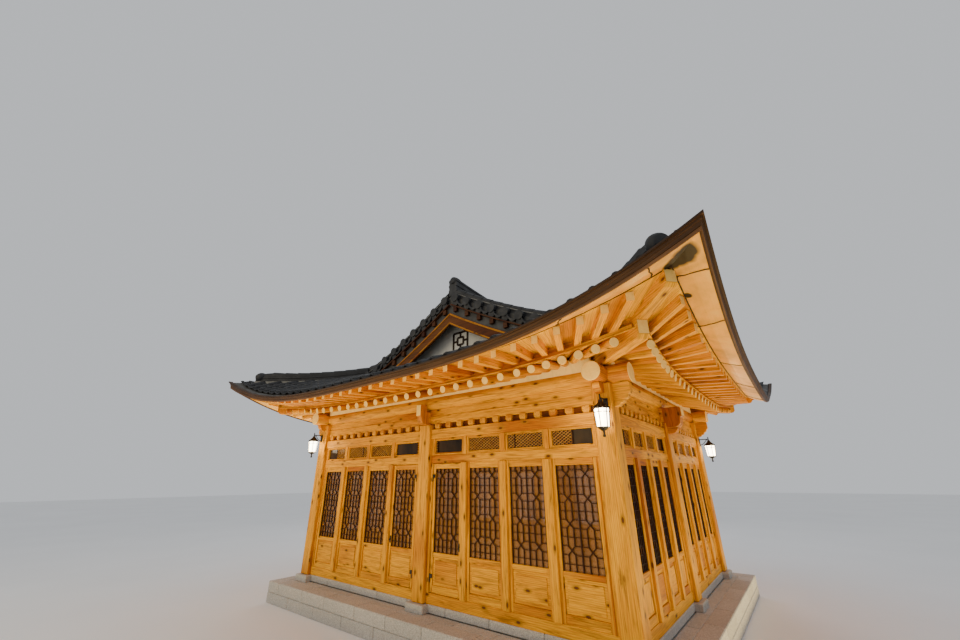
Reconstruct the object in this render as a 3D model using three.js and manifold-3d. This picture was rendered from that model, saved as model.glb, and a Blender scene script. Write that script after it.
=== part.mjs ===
// A Korean hanok house, two bays wide and two bays deep, under a hip-and-gable tiled roof with double eaves.
// Millimetres, +Z up, +Y into the house from its front. The origin is on the ground, under the plan's centre.
import * as THREE from "three";
import { mergeVertices } from "three/addons/utils/BufferGeometryUtils.js";
import Module from "manifold-3d";

const wasm = await Module();
wasm.setup();

const FIT = 0.3; // what touching pieces keep between them
const LAP = 5; // how far the parts of one piece run into each other
const OVER = 6000; // past everything, for cuts

// Driving dimensions of the plan and of the timber frame.
const FRONT_BAY = 3640;
const SIDE_BAY = 2860;
const COLUMN = 290;
const PLATFORM_OUT = 600; // from the column lines to the platform's edge
const PLATFORM_TOP = 400;
const BASE_TOP = 520; // column bases and the plinth between them
const BASE_SIDE = 430;
const PLINTH_DEPTH = 170;
const FLOOR_TOP = 600;
const SILL_TOP = 680;
const HEAD_BEAM_LOW = 2734;
const HEAD_BEAM_TOP = 2878;
const LINTEL_LOW = 3182;
const LINTEL_TOP = 3355;
const BLOCK_TOP = 3465;
const PURLIN_SEAT = 3751;
const PURLIN_CENTRE = 3883;
const PURLIN_RADIUS = 144;
const PURLIN_FACES = 16;
const PURLIN_END = 430; // past the crossing

// Walls: members' faces, measured inwards from the column line (negative is outwards).
const LEAF_FRONT = -70;
const LEAF_BACK = -25;
const POST_FRONT = -110;
const BEAM_FRONT = -75;
const MEMBER_BACK = 45;
const LINTEL_HALF = 95;
const POST = 120;
const JAMB = 70;
const STILE = 50;
const PANE_LOW = 1280;
const PANE_TOP = 2637;
const VENT_LOW = 2923;
const VENT_TOP = 3142;
const VENT_INSET = 20;
const LEAVES = 4; // in each bay
const GLASS = 8;
const GLASS_LOW = PANE_LOW - 40;
const GLASS_TOP = VENT_TOP + 20;
const DOOR_GAP = 9;
const REBATE = 12;

// Door hinges: a knuckle on the leaf rests on one on the jamb.
const HINGE_RADIUS = 9;
const HINGE_FRONT = -85; // its axis, from the column line
const HINGE_HEIGHTS = [900, 2480];
const KNUCKLE = 60;
const HINGE_PLATE = 45;
const HINGE_PLATE_HALF = 4;

// Beams over the columns, and the heads that reach past them.
const BEAM_HALF = 130;
const BEAM_END = 450;
const NOSE_HALF = 75;
const NOSE_LOW = 3240;
const NOSE_SHORT = 110;
const CROSS_HALF = 65;
const CROSS_END = 330;
const CROSS_SHORT = 20; // the beam stops this much before its head does
const CROSS_LOW = 3450;
const CROSS_TOP = 3700;
const CROSS_HEAD = [3600, 3830];
const CROSS_HEAD_IN = 165;
const STRIP_HALF = 55;
const INFILL_BOARD = 40;
const SIDE_HEAD_OUT = 400;
const SIDE_HEAD_LOW = 3400;
const FRONT_HEAD_OUT = 300;
const FRONT_HEAD_LOW = 3590;

// Rafters and their boards. "out" is measured outwards from the column lines.
const RAFTER_RADIUS = 65;
const RAFTER_SLOPE = 0.25;
const RAFTER_OUT = 800;
const RAFTER_IN = 1000;
const RAFTER_PITCH = 310;
const FAN_RAFTERS = 6;
const FAN_PITCH = 258;
const FAN_TAIL = 90; // how far fan rafters reach in past the column line
const BOARD = 25;
const INFILL = 60;
const INFILL_RISE = 20;
const FLYING_WIDTH = 90;
const FLYING_HEIGHT = 110;
const FLYING_OUT = 1410;
const FLYING_TAIL = 300;
const FLYING_TIP_LOW = 3978;
const FLYING_TAIL_DEPTH = 25;
const BATTEN = 40;
const BATTEN_DEPTH = 60;
const BATTEN_SEAT = 14;
const BATTEN_TOP = 46; // over the boards
const ROUND_SWEEP = 141; // how much further out each tier reaches at the corner
const FLYING_SWEEP = 30;
const EAVE_SWEEP = 110;
const ROUND_LIFT = 250; // how much higher each tier is at the corner
const FLYING_LIFT = 490;
const EAVE_LIFT = 800;
const CURVE = 3.3; // power of the eaves' curve
const INNER_LIFT = 0.8; // the share of the lift at the rafters' inner ends

// Hip rafters: a heavy beam on the purlins' crossing, with its flying tip on top.
const HIP_WIDTH = 150;
const HIP_DEPTH = 240;
const HIP_SEAT = 350;
const HIP_TIP_OUT = 1435;
const HIP_TIP_DEPTH = 200;
const HIP_TIP_TAIL = 420;
const HIP_STEP = 30; // how far the beam's end tapers up into the flying tip
const HIP_KNEE = 132; // the flying tip's height at the beam's end
const HIP_PAST = 60; // its inner end, past the ring's middle and over the ring
const HIP_PAST_TOP = 175;
const HIP_TOP_IN = 200;

// The ring inside the house that carries the rafters' inner ends.
const RING_HALF = 100;
const RING_DEPTH = 200;
const RING_POST_HALF = 90;

// The roof's top, from its edge over the gutter, and what lies under it.
const EAVE_OUT = 1800;
const EAVE_TOP = 4026;
const RISE_SLOPE = 0.403;
const RISE_CURVE = 2.12e-9;
const GUTTER_LOW = 3946;
const GUTTER_LIFT = EAVE_LIFT - 62;
const GUTTER_BACK = 75;
const GUTTER_RISE = 25; // over the eave
const GUTTER_WALL = 60;
const GUTTER_BEVEL = [20, 10];
const SOFFIT = 30;
const SOFFIT_GAP = 30;
const SOFFIT_DROP = 10;
const OVER_FLYING = 32; // the roof's underside over the flying rafters, and over the round ones
const OVER_ROUND = 20;
const KNEE_CLEAR = 75; // and what it clears them by at the corners
const TIP_CLEAR = 60;
const EAVE_DEPTH = 40;
const UPPER_DEPTH = 300;
const VERGE_DEPTH = 500;
const VERGE_BAND = 200;
const GABLE_OUT = -900;
const VERGE_OUT = -550;
const GABLE_DEPTH = 160;
const HIP_INSET = 0.3;
const BARGE_DROP = 463;
const BARGE_HEIGHT = 290;
const BARGE_THICK = 45;
const BARGE_SHORT = 60;

// Ridges: heights over the roof, at shares of the verge and at runs of the hip.
const MAIN_RIDGE_WIDTH = 260;
const MAIN_RIDGE_HEIGHT = 420;
const MAIN_RIDGE_ENDS = 120;
const MAIN_RIDGE_QUARTER = 30;
const RIDGE_WIDTH = 220;
const RIDGE_SEAT = 60;
const RIDGE_GAP = 1.8;
const RIDGE_SHORT = 30;
const VERGE_RIDGE = [[0, 270], [0.15, 240], [0.35, 215], [0.6, 208], [0.8, 222], [0.92, 250], [1, 290]];
const HIP_RIDGE = [
  [2390, 265], [2000, 262], [1600, 262], [1200, 264], [950, 272], [780, 290], [660, 312], [560, 316], [460, 296],
];
const RIDGE_PURLIN = 220;
const KING_POST_HALF = 90;

// Lanterns hang from short arms on the columns.
const LANTERN_SIDE = 220;
const LANTERN_CASE = [3090, 3350];
const LANTERN_TOP = 3550;
const LANTERN_LOW = 2970;
const LANTERN_CAP_HALF = 30;
const LANTERN_FINIAL_HALF = 20;
const LANTERN_REACH = 210;
const LANTERN_SHIFT = 60; // outwards from the front columns' centres
const LANTERN_DROP = 160; // the back one hangs lower, under the beam's head
const LANTERN_PLATE = [3340, 3520];
const LANTERN_PLATE_HALF = 35;
const LANTERN_PLATE_DEPTH = 15;
const LANTERN_ARM = [3480, 3510];
const LANTERN_ARM_HALF = 15;

const HALF_WIDTH = FRONT_BAY;
const HALF_DEPTH = SIDE_BAY;
const MAIN_RUN = HALF_WIDTH + EAVE_OUT;
const VERGE_RUN = EAVE_OUT - VERGE_OUT;
const GABLE_RUN = EAVE_OUT - GABLE_OUT;
const UPPER_RUN = EAVE_OUT + RAFTER_IN;
const VERGE_HALF = HALF_DEPTH + VERGE_OUT;
const LOWER_RUNS = [GUTTER_BACK, EAVE_OUT - FLYING_OUT, EAVE_OUT - RAFTER_OUT, EAVE_OUT - FLYING_TAIL];
const UPPER_RUNS = [3300, 3800, 4300, 4850];

// Solids from three.js geometries, joined and cut as closed bodies.
function solid(geometry) {
  geometry.deleteAttribute("normal");
  geometry.deleteAttribute("uv");
  const merged = mergeVertices(geometry, 1e-3);
  const vertProperties = new Float32Array(merged.attributes.position.array);
  const triVerts = new Uint32Array(merged.index.array);
  return new wasm.Manifold(new wasm.Mesh({ numProp: 3, vertProperties, triVerts }));
}

function box(x, y, z) {
  const geometry = new THREE.BoxGeometry(x[1] - x[0], y[1] - y[0], z[1] - z[0]);
  geometry.translate((x[0] + x[1]) / 2, (y[0] + y[1]) / 2, (z[0] + z[1]) / 2);
  return solid(geometry);
}

// A box about a vertical line, as wide each way as "half".
function post(x, y, half, z) {
  return box([x - half, x + half], [y - half, y + half], z);
}

// The span from one distance to another on either side of a line: sign -1 turns it over.
function span(sign, from, to) {
  return sign < 0 ? [-to, -from] : [from, to];
}

function shapeOf(points) {
  return new THREE.Shape(points.map((p) => new THREE.Vector2(p[0], p[1])));
}

function extrude(shape, depth) {
  return new THREE.ExtrudeGeometry(shape, { depth, bevelEnabled: false });
}

// An outline in the vertical plane of direction "angle" from +X, as thick as "width" across it.
function profile(points, width, angle, x, y) {
  const geometry = extrude(shapeOf(points), width);
  geometry.translate(0, 0, -width / 2);
  geometry.rotateX(Math.PI / 2);
  geometry.rotateZ(angle);
  geometry.translate(x, y, 0);
  return solid(geometry);
}

function join(solids) {
  return solids.reduce((all, next) => all.add(next));
}

function cut(body, tools) {
  return tools.reduce((rest, tool) => rest.subtract(tool), body);
}

// The largest body that a cut leaves, without its offcuts.
function largest(body) {
  return body.decompose().reduce((best, next) => (next.volume() > best.volume() ? next : best));
}

// A closed sheet from a grid of top and bottom points: rows[i][j] = {top, low}, each a [x, y, z].
function sheet(rows) {
  const wide = rows[0].length;
  const count = rows.length * wide;
  const points = rows.flat();
  const position = [...points.map((p) => p.top), ...points.map((p) => p.low)].flat();
  const index = [];
  const quad = (a, b, c, d) => index.push(a, b, c, a, c, d);
  for (let i = 0; i + 1 < rows.length; i++) {
    for (let j = 0; j + 1 < wide; j++) {
      const a = i * wide + j;
      quad(a, a + 1, a + wide + 1, a + wide);
      quad(a + count, a + wide + count, a + wide + 1 + count, a + 1 + count);
    }
    const left = i * wide;
    const right = left + wide - 1;
    quad(left, left + wide, left + wide + count, left + count);
    quad(right, right + count, right + wide + count, right + wide);
  }
  const last = (rows.length - 1) * wide;
  for (let j = 0; j + 1 < wide; j++) {
    quad(j, j + count, j + 1 + count, j + 1);
    quad(last + j, last + j + 1, last + j + 1 + count, last + j + count);
  }
  const geometry = new THREE.BufferGeometry();
  geometry.setAttribute("position", new THREE.Float32BufferAttribute(position, 3));
  geometry.setIndex(index);
  const made = solid(geometry);
  if (made.volume() > 0) return made;
  const turnedOver = index.map((_, i) => index[i % 3 === 0 ? i : i % 3 === 1 ? i + 1 : i - 1]);
  geometry.setIndex(turnedOver);
  return solid(geometry);
}

// The four sides: a point given along the side, outwards from its column line, becomes a place in the plan.
const SIDES = [
  { name: "front", half: HALF_WIDTH, line: HALF_DEPTH, turn: 0 },
  { name: "right", half: HALF_DEPTH, line: HALF_WIDTH, turn: 90 },
  { name: "back", half: HALF_WIDTH, line: HALF_DEPTH, turn: 180 },
  { name: "left", half: HALF_DEPTH, line: HALF_WIDTH, turn: 270 },
];
const [FRONT_SIDE, RIGHT_SIDE, BACK_SIDE, LEFT_SIDE] = SIDES;

const CORNERS = [
  { name: "front_right", x: 1, y: -1, angle: -45 },
  { name: "back_right", x: 1, y: 1, angle: 45 },
  { name: "back_left", x: -1, y: 1, angle: 135 },
  { name: "front_left", x: -1, y: -1, angle: 225 },
];

const ENDS = [
  { name: "front", sign: -1 },
  { name: "back", sign: 1 },
];

// Pieces of a side are made as if it were the front, then turned about the plan's centre.
function turned(body, side) {
  return body.rotate([0, 0, side.turn]);
}

function lerp(a, b, t) {
  return a + (b - a) * t;
}

// How far along the curve of the eave a place is: 0 at its middle, 1 at the corner.
function bend(along, half, out) {
  return Math.min(Math.abs(along) / (half + out), 1) ** CURVE;
}

// Where the curved surfaces are divided, closer together near the corners.
const HALF_SHARES = [0.3, 0.5, 0.65, 0.78, 0.9, 1];
const SHARES = [...HALF_SHARES.map((t) => -t).reverse(), 0, ...HALF_SHARES];

// Round rafters lie on the purlins, and boards lie on them.
const PURLIN_CORNER = PURLIN_RADIUS / Math.cos(Math.PI / PURLIN_FACES);
const RAFTER_RISE = RAFTER_RADIUS * Math.hypot(1, RAFTER_SLOPE);
const RAFTER_CENTRE = PURLIN_CENTRE + (PURLIN_CORNER + FIT) * Math.hypot(1, RAFTER_SLOPE) + RAFTER_RISE;
const BOARD_TOP = RAFTER_CENTRE + RAFTER_RISE + BOARD - LAP;

function rafterHeight(along, half, out) {
  const share = lerp(INNER_LIFT, 1, (out + RAFTER_IN) / (RAFTER_OUT + RAFTER_IN));
  const lift = ROUND_LIFT * bend(along, half, RAFTER_OUT + ROUND_SWEEP) * share;
  return RAFTER_CENTRE - RAFTER_SLOPE * out + lift;
}

function boardTop(along, half, out) {
  return rafterHeight(along, half, out) + RAFTER_RISE - LAP + BOARD;
}

// Where the rafters of a side lie: their tips along the side, and the point each comes from.
function rafterLines(half) {
  const straight = half - RAFTER_IN;
  const count = Math.round((2 * straight) / RAFTER_PITCH);
  const lines = [];
  for (let i = 0; i <= count; i++) {
    const along = lerp(-straight, straight, i / count);
    lines.push({ tip: along, root: along });
  }
  for (let i = 1; i <= FAN_RAFTERS; i++) {
    lines.push({ tip: straight + FAN_PITCH * i, root: straight });
    lines.push({ tip: -straight - FAN_PITCH * i, root: -straight });
  }
  return lines;
}

// The part of the plan that belongs to one side, short of the hip rafters.
const WEDGE = [3500, 7500];
const WEDGE_PAST = 120;

function wedge(side, inner, outer) {
  const slack = (HIP_WIDTH / 2 + FIT) * Math.SQRT2;
  const points = [
    [-(side.half + outer - slack), -(side.line + outer)],
    [side.half + outer - slack, -(side.line + outer)],
    [side.half + inner - slack, -(side.line + inner)],
    [-(side.half + inner - slack), -(side.line + inner)],
  ];
  const geometry = extrude(shapeOf(points), WEDGE[1] - WEDGE[0]);
  geometry.translate(0, 0, WEDGE[0]);
  return solid(geometry);
}

function sweepAt(along, half, reach, sweep) {
  return reach + sweep * bend(along, half, reach + sweep);
}

function roundRafters(side) {
  const bars = rafterLines(side.half).map(({ tip, root }) => {
    const run = sweepAt(tip, side.half, RAFTER_OUT, ROUND_SWEEP) + RAFTER_IN;
    const length = Math.hypot(run, tip - root);
    const from = tip === root ? 0 : ((RAFTER_IN - FAN_TAIL) / run) * length;
    const height = (at) => rafterHeight(tip, side.half, (at / length) * run - RAFTER_IN);
    const points = [
      [from, height(from) - RAFTER_RISE],
      [length, height(length) - RAFTER_RISE],
      [length, height(length) + RAFTER_RISE],
      [from, height(from) + RAFTER_RISE],
    ];
    const angle = Math.atan2(-run, tip - root);
    return profile(points, 2 * RAFTER_RADIUS, angle, root, -side.line + RAFTER_IN);
  });
  const bottom = PURLIN_CENTRE + PURLIN_RADIUS + FIT;
  const crest = SHARES.map((share) => {
    const along = share * (side.half - HIP_WIDTH);
    return [along, rafterHeight(along, side.half, 0) + INFILL_RISE];
  });
  const end = crest[crest.length - 1][0];
  const infill = profile([...crest, [end, bottom], [-end, bottom]], INFILL, 0, 0, -side.line);
  const keep = wedge(side, -RAFTER_IN - WEDGE_PAST, RAFTER_OUT + ROUND_SWEEP + WEDGE_PAST);
  return turned(join([infill, ...bars]).intersect(keep), side);
}

// Flying rafters lie on the boards of the round ones, behind a batten along those boards' edge.
function flyingTip(along, half) {
  return FLYING_TIP_LOW + FLYING_LIFT * bend(along, half, FLYING_OUT + FLYING_SWEEP);
}

function flyingRafters(side) {
  const bars = rafterLines(side.half).map(({ tip, root }) => {
    const roundOut = sweepAt(tip, side.half, RAFTER_OUT, ROUND_SWEEP);
    const across = tip - root;
    const run = roundOut + RAFTER_IN;
    const scale = Math.hypot(run, across) / run;
    const place = (out) => (out + RAFTER_IN) * scale;
    const tipAlong = root + (across * (FLYING_OUT + RAFTER_IN)) / run;
    const out = sweepAt(tipAlong, side.half, FLYING_OUT, FLYING_SWEEP);
    const knee = boardTop(tip, side.half, roundOut) + FIT;
    const tail = boardTop(tip, side.half, FLYING_TAIL) + FIT;
    const low = flyingTip(tipAlong, side.half);
    const top = knee + BATTEN + FLYING_HEIGHT;
    const points = [
      [place(FLYING_TAIL), tail],
      [place(roundOut - BATTEN_DEPTH), knee + BATTEN],
      [place(out), low],
      [place(out), low + FLYING_HEIGHT],
      [place(roundOut), top],
      [place(FLYING_TAIL), Math.max(tail + FLYING_TAIL_DEPTH, top - LAP)],
    ];
    return profile(points, FLYING_WIDTH, Math.atan2(-run, across), root, -side.line + RAFTER_IN);
  });
  const rows = [-BATTEN_DEPTH, 0].map((step) =>
    SHARES.map((share) => {
      const out = RAFTER_OUT - LAP + step + ROUND_SWEEP * Math.abs(share) ** CURVE;
      const along = share * (side.half + out);
      const boards = boardTop(along, side.half, out);
      const at = (height) => [along, -side.line - out, height];
      return { top: at(boards + BATTEN_TOP), low: at(boards + BATTEN_SEAT) };
    }),
  );
  const keep = wedge(side, -RAFTER_IN, FLYING_OUT + WEDGE_PAST);
  return turned(join([sheet(rows), ...bars]).intersect(keep), side);
}

// Heights of the flying rafters' upper edges, at a share of the way from the side's middle to the corner.
function flyingTop(side, share) {
  const t = Math.abs(share);
  const kneeOut = RAFTER_OUT + ROUND_SWEEP * t ** CURVE;
  const tipOut = FLYING_OUT + FLYING_SWEEP * t ** CURVE;
  const onBoards = BATTEN + FLYING_HEIGHT;
  const tailBoards = boardTop(t * (side.half + FLYING_TAIL), side.half, FLYING_TAIL) + FLYING_TAIL_DEPTH;
  const middleKnee = BOARD_TOP - RAFTER_SLOPE * RAFTER_OUT + onBoards;
  return {
    tail: Math.max(tailBoards, middleKnee + ROUND_LIFT * t ** CURVE),
    knee: boardTop(t * (side.half + kneeOut), side.half, kneeOut) + FIT + onBoards,
    tip: flyingTip(t * (side.half + tipOut), side.half) + FLYING_HEIGHT,
  };
}

// The top of the roof, from the eave (run 0) towards the ridge, with the corners swept up and out.
function roofHeight(run) {
  return EAVE_TOP + RISE_SLOPE * run + RISE_CURVE * run ** 3;
}

function fade(run) {
  return Math.max(1 - run / UPPER_RUN, 0) ** 1.5;
}

function hipOut(run) {
  return EAVE_OUT - run + EAVE_SWEEP * fade(run);
}

// The roof's underside: on the boards of both rafter tiers, and a plain thickness further up.
function underHeight(side, share, out, along) {
  const bent = Math.abs(share) ** CURVE;
  const top = flyingTop(side, share);
  const knee = top.knee + KNEE_CLEAR * bent;
  const tip = top.tip + TIP_CLEAR * bent;
  const soffit = GUTTER_LOW + GUTTER_LIFT * bent + SOFFIT;
  const boards = boardTop(along, side.half, out);
  if (out < FLYING_TAIL) return boards + OVER_ROUND;
  if (out === FLYING_TAIL) return Math.max(top.tail, boards) + OVER_ROUND;
  if (out <= RAFTER_OUT) {
    return lerp(top.tail, knee, (out - FLYING_TAIL) / (RAFTER_OUT - FLYING_TAIL)) + OVER_ROUND;
  }
  if (out <= FLYING_OUT) return lerp(knee, tip, (out - RAFTER_OUT) / (FLYING_OUT - RAFTER_OUT)) + OVER_FLYING;
  return Math.max(soffit, tip - TIP_CLEAR) + OVER_FLYING;
}

function roofSheet(side, runs, lengthAt, upper, grow) {
  const rows = runs.map((run) =>
    SHARES.map((share) => {
      const lifted = Math.abs(share) ** CURVE * fade(run);
      const along = share * lengthAt(run);
      const across = -side.line - (EAVE_OUT - run + EAVE_SWEEP * lifted);
      const top = roofHeight(run) + EAVE_LIFT * lifted;
      const under = upper ? top - UPPER_DEPTH : underHeight(side, share, EAVE_OUT - run, along);
      const low = Math.min(under, top - EAVE_DEPTH);
      return { top: [along, across, top + grow], low: [along, across, low - grow] };
    }),
  );
  return sheet(rows);
}

// Each upper slope is deeper along its verges, where the tiles' bedding shows.
function vergeBand(side, sign, grow) {
  const edges = span(sign, VERGE_HALF - VERGE_BAND - grow, VERGE_HALF + grow);
  const rows = [UPPER_RUN - LAP, ...UPPER_RUNS, MAIN_RUN - FIT].map((run) =>
    edges.map((along) => {
      const at = (height) => [along, -side.line - EAVE_OUT + run, height];
      return { top: at(roofHeight(run) - UPPER_DEPTH / 2), low: at(roofHeight(run) - VERGE_DEPTH - grow) };
    }),
  );
  return sheet(rows);
}

// One of the two long slopes: hipped at its lower part, and straight at the verges above.
function mainSlope(side, grow) {
  const hip = (run) => side.half + hipOut(run) - HIP_INSET + grow;
  const straight = () => VERGE_HALF + grow;
  const upperRuns = [UPPER_RUN - LAP, ...UPPER_RUNS, MAIN_RUN - FIT];
  const parts = [
    roofSheet(side, [...LOWER_RUNS, VERGE_RUN], hip, false, grow),
    roofSheet(side, [VERGE_RUN - LAP, UPPER_RUN], straight, false, grow),
    roofSheet(side, upperRuns, straight, true, grow),
    vergeBand(side, -1, grow),
    vergeBand(side, 1, grow),
  ];
  return turned(join(parts), side);
}

function skirt(side, grow) {
  const hip = (run) => side.half + hipOut(run) - HIP_INSET + grow;
  return turned(roofSheet(side, [...LOWER_RUNS, VERGE_RUN, GABLE_RUN - FIT], hip, false, grow), side);
}

// The eave's soffit and gutter: one ring round the house, made of four mitred lengths.
function eaveLength(side) {
  const rows = [[], [], [], []];
  for (const share of SHARES) {
    const t = Math.abs(share) ** CURVE;
    const tip = flyingTop(side, share).tip;
    const inner = FLYING_OUT + SOFFIT_GAP + FLYING_SWEEP * t;
    const outer = EAVE_OUT + EAVE_SWEEP * t;
    const low = GUTTER_LOW + GUTTER_LIFT * t;
    const top = EAVE_TOP + GUTTER_RISE + EAVE_LIFT * t;
    const at = (out, height) => [share * (side.half + out), -side.line - out, height];
    const [bevelOut, bevelUp] = GUTTER_BEVEL;
    rows[0].push({ top: at(inner, tip - SOFFIT_DROP), low: at(inner, tip - SOFFIT_DROP - SOFFIT) });
    rows[1].push({ top: at(outer - GUTTER_BACK, low + SOFFIT), low: at(outer - GUTTER_BACK, low) });
    rows[2].push({ top: at(outer - GUTTER_WALL, top), low: at(outer - GUTTER_WALL, low) });
    rows[3].push({ top: at(outer, top), low: at(outer - bevelOut, low + bevelUp) });
  }
  return turned(sheet(rows), side);
}

const RING_TOP = rafterHeight(0, HALF_WIDTH, -RAFTER_IN + RING_HALF) - RAFTER_RISE - FIT;
const RING_LOW = RING_TOP - RING_DEPTH;

function hipRafter(corner, grow) {
  const base = PURLIN_CENTRE + PURLIN_RADIUS + FIT;
  const far = (RAFTER_OUT + ROUND_SWEEP) * Math.SQRT2;
  const tip = HIP_TIP_OUT * Math.SQRT2 + 4 * grow;
  const inner = -(RAFTER_IN + HIP_PAST) * Math.SQRT2;
  const lower = [
    [inner, RING_TOP + HIP_PAST],
    [-(RAFTER_IN - RING_HALF) * Math.SQRT2, RING_TOP + FIT],
    [-HIP_SEAT, base],
    [far, base],
    [far, base + HIP_DEPTH],
    [-HIP_TOP_IN, base + HIP_DEPTH],
    [inner, RING_TOP + HIP_PAST_TOP],
  ];
  const tipTop = FLYING_TIP_LOW + FLYING_LIFT + FLYING_HEIGHT;
  const upper = [
    [HIP_TIP_TAIL, base + HIP_DEPTH - LAP],
    [far + HIP_STEP, base + HIP_DEPTH - LAP],
    [tip, tipTop - HIP_TIP_DEPTH],
    [tip, tipTop],
    [far, base + HIP_DEPTH + HIP_KNEE],
    [HIP_TIP_TAIL, base + HIP_DEPTH + HIP_KNEE / 2],
  ];
  const beams = join([lower, upper].map((points) => profile(points, HIP_WIDTH + 2 * grow, 0, 0, 0)));
  return beams.rotate([0, 0, corner.angle]).translate([corner.x * HALF_WIDTH, corner.y * HALF_DEPTH, 0]);
}

// The purlins are round, with a flat seat below, and halved where they cross.
function purlin(side) {
  const seat = PURLIN_SEAT - PURLIN_CENTRE;
  const points = [];
  for (let i = 0; i < PURLIN_FACES; i++) {
    const angle = ((i + 0.5) * 2 * Math.PI) / PURLIN_FACES;
    points.push([PURLIN_CORNER * Math.cos(angle), Math.max(PURLIN_CORNER * Math.sin(angle), seat)]);
  }
  const length = 2 * (side.half + PURLIN_END);
  const geometry = extrude(shapeOf(points), length);
  geometry.translate(0, 0, -length / 2);
  geometry.rotateX(Math.PI / 2);
  geometry.rotateZ(Math.PI / 2);
  geometry.translate(0, -side.line, PURLIN_CENTRE);
  return turned(solid(geometry), side);
}

function halving(other, keepLow) {
  const shifts = [[FIT, FIT], [FIT, -FIT], [-FIT, FIT], [-FIT, -FIT]];
  const wide = join(shifts.map(([x, y]) => other.translate([x, y, 0])));
  const grown = join([wide, wide.translate([0, 0, FIT]), wide.translate([0, 0, -FIT])]);
  const all = [-OVER, OVER];
  const z = keepLow ? [PURLIN_CENTRE - FIT / 2, OVER] : [0, PURLIN_CENTRE + FIT / 2];
  return grown.intersect(box(all, all, z));
}

// Everything under the purlins on one side: a strip on an infill board, with a head past each corner column.
function bearing(side) {
  const across = (half) => [-side.line - half, -side.line + half];
  const onFront = side === FRONT_SIDE || side === BACK_SIDE;
  const between = side.half - COLUMN / 2 - FIT;
  const end = side.half + STRIP_HALF;
  const face = side.half + COLUMN / 2 + FIT;
  const parts = [
    box([-end, end], across(STRIP_HALF), [BLOCK_TOP, PURLIN_SEAT - FIT]),
    box([-between, between], across(INFILL_BOARD / 2), [LINTEL_TOP + FIT, BLOCK_TOP + LAP]),
  ];
  for (const sign of [-1, 1]) {
    const out = side.half + (onFront ? SIDE_HEAD_OUT : FRONT_HEAD_OUT);
    const low = onFront ? BLOCK_TOP : FRONT_HEAD_LOW;
    parts.push(box(span(sign, end - LAP, out), across(STRIP_HALF), [low, PURLIN_SEAT - FIT]));
    if (onFront) parts.push(box(span(sign, face, out), across(STRIP_HALF), [SIDE_HEAD_LOW, BLOCK_TOP + LAP]));
  }
  return join(parts);
}

// The two hinged leaves stand beside the front's middle column: left of it, and right of it.
const DOORS = [
  { name: "left", index: LEAVES - 1, jamb: 1 },
  { name: "right", index: LEAVES, jamb: -1 },
];

// The openings between the posts of one side, from left to right.
function leafSpans(side) {
  const pitch = (side.half - COLUMN) / LEAVES;
  return [-side.half, 0].flatMap((from) =>
    Array.from({ length: LEAVES }, (_, i) => {
      const start = from + COLUMN / 2 + pitch * i;
      const left = i === 0 ? JAMB : POST / 2;
      const right = i === LEAVES - 1 ? JAMB : POST / 2;
      return [start + left, start + pitch - right];
    }),
  );
}

function knuckles(door, onLeaf) {
  const [left, right] = leafSpans(FRONT_SIDE)[door.index];
  const x = door.jamb > 0 ? right - DOOR_GAP : left + DOOR_GAP;
  const y = -HALF_DEPTH + HINGE_FRONT;
  const way = onLeaf ? -door.jamb : door.jamb;
  const back = -HALF_DEPTH + (onLeaf ? LEAF_FRONT : BEAM_FRONT) + 1;
  const across = (from) => span(way, from, HINGE_PLATE).map((v) => x + v);
  const pieces = HINGE_HEIGHTS.flatMap((height) => {
    const z = onLeaf ? [height, height + KNUCKLE] : [height - KNUCKLE, height - FIT];
    const barrel = new THREE.CylinderGeometry(HINGE_RADIUS, HINGE_RADIUS, z[1] - z[0], 8, 1);
    barrel.rotateX(Math.PI / 2);
    barrel.translate(x, y, (z[0] + z[1]) / 2);
    const plate = box(across(0), [y - HINGE_PLATE_HALF, y + HINGE_PLATE_HALF], z);
    return [solid(barrel), plate, box(across(DOOR_GAP + 3), [y, back], z)];
  });
  return join(pieces);
}

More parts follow.
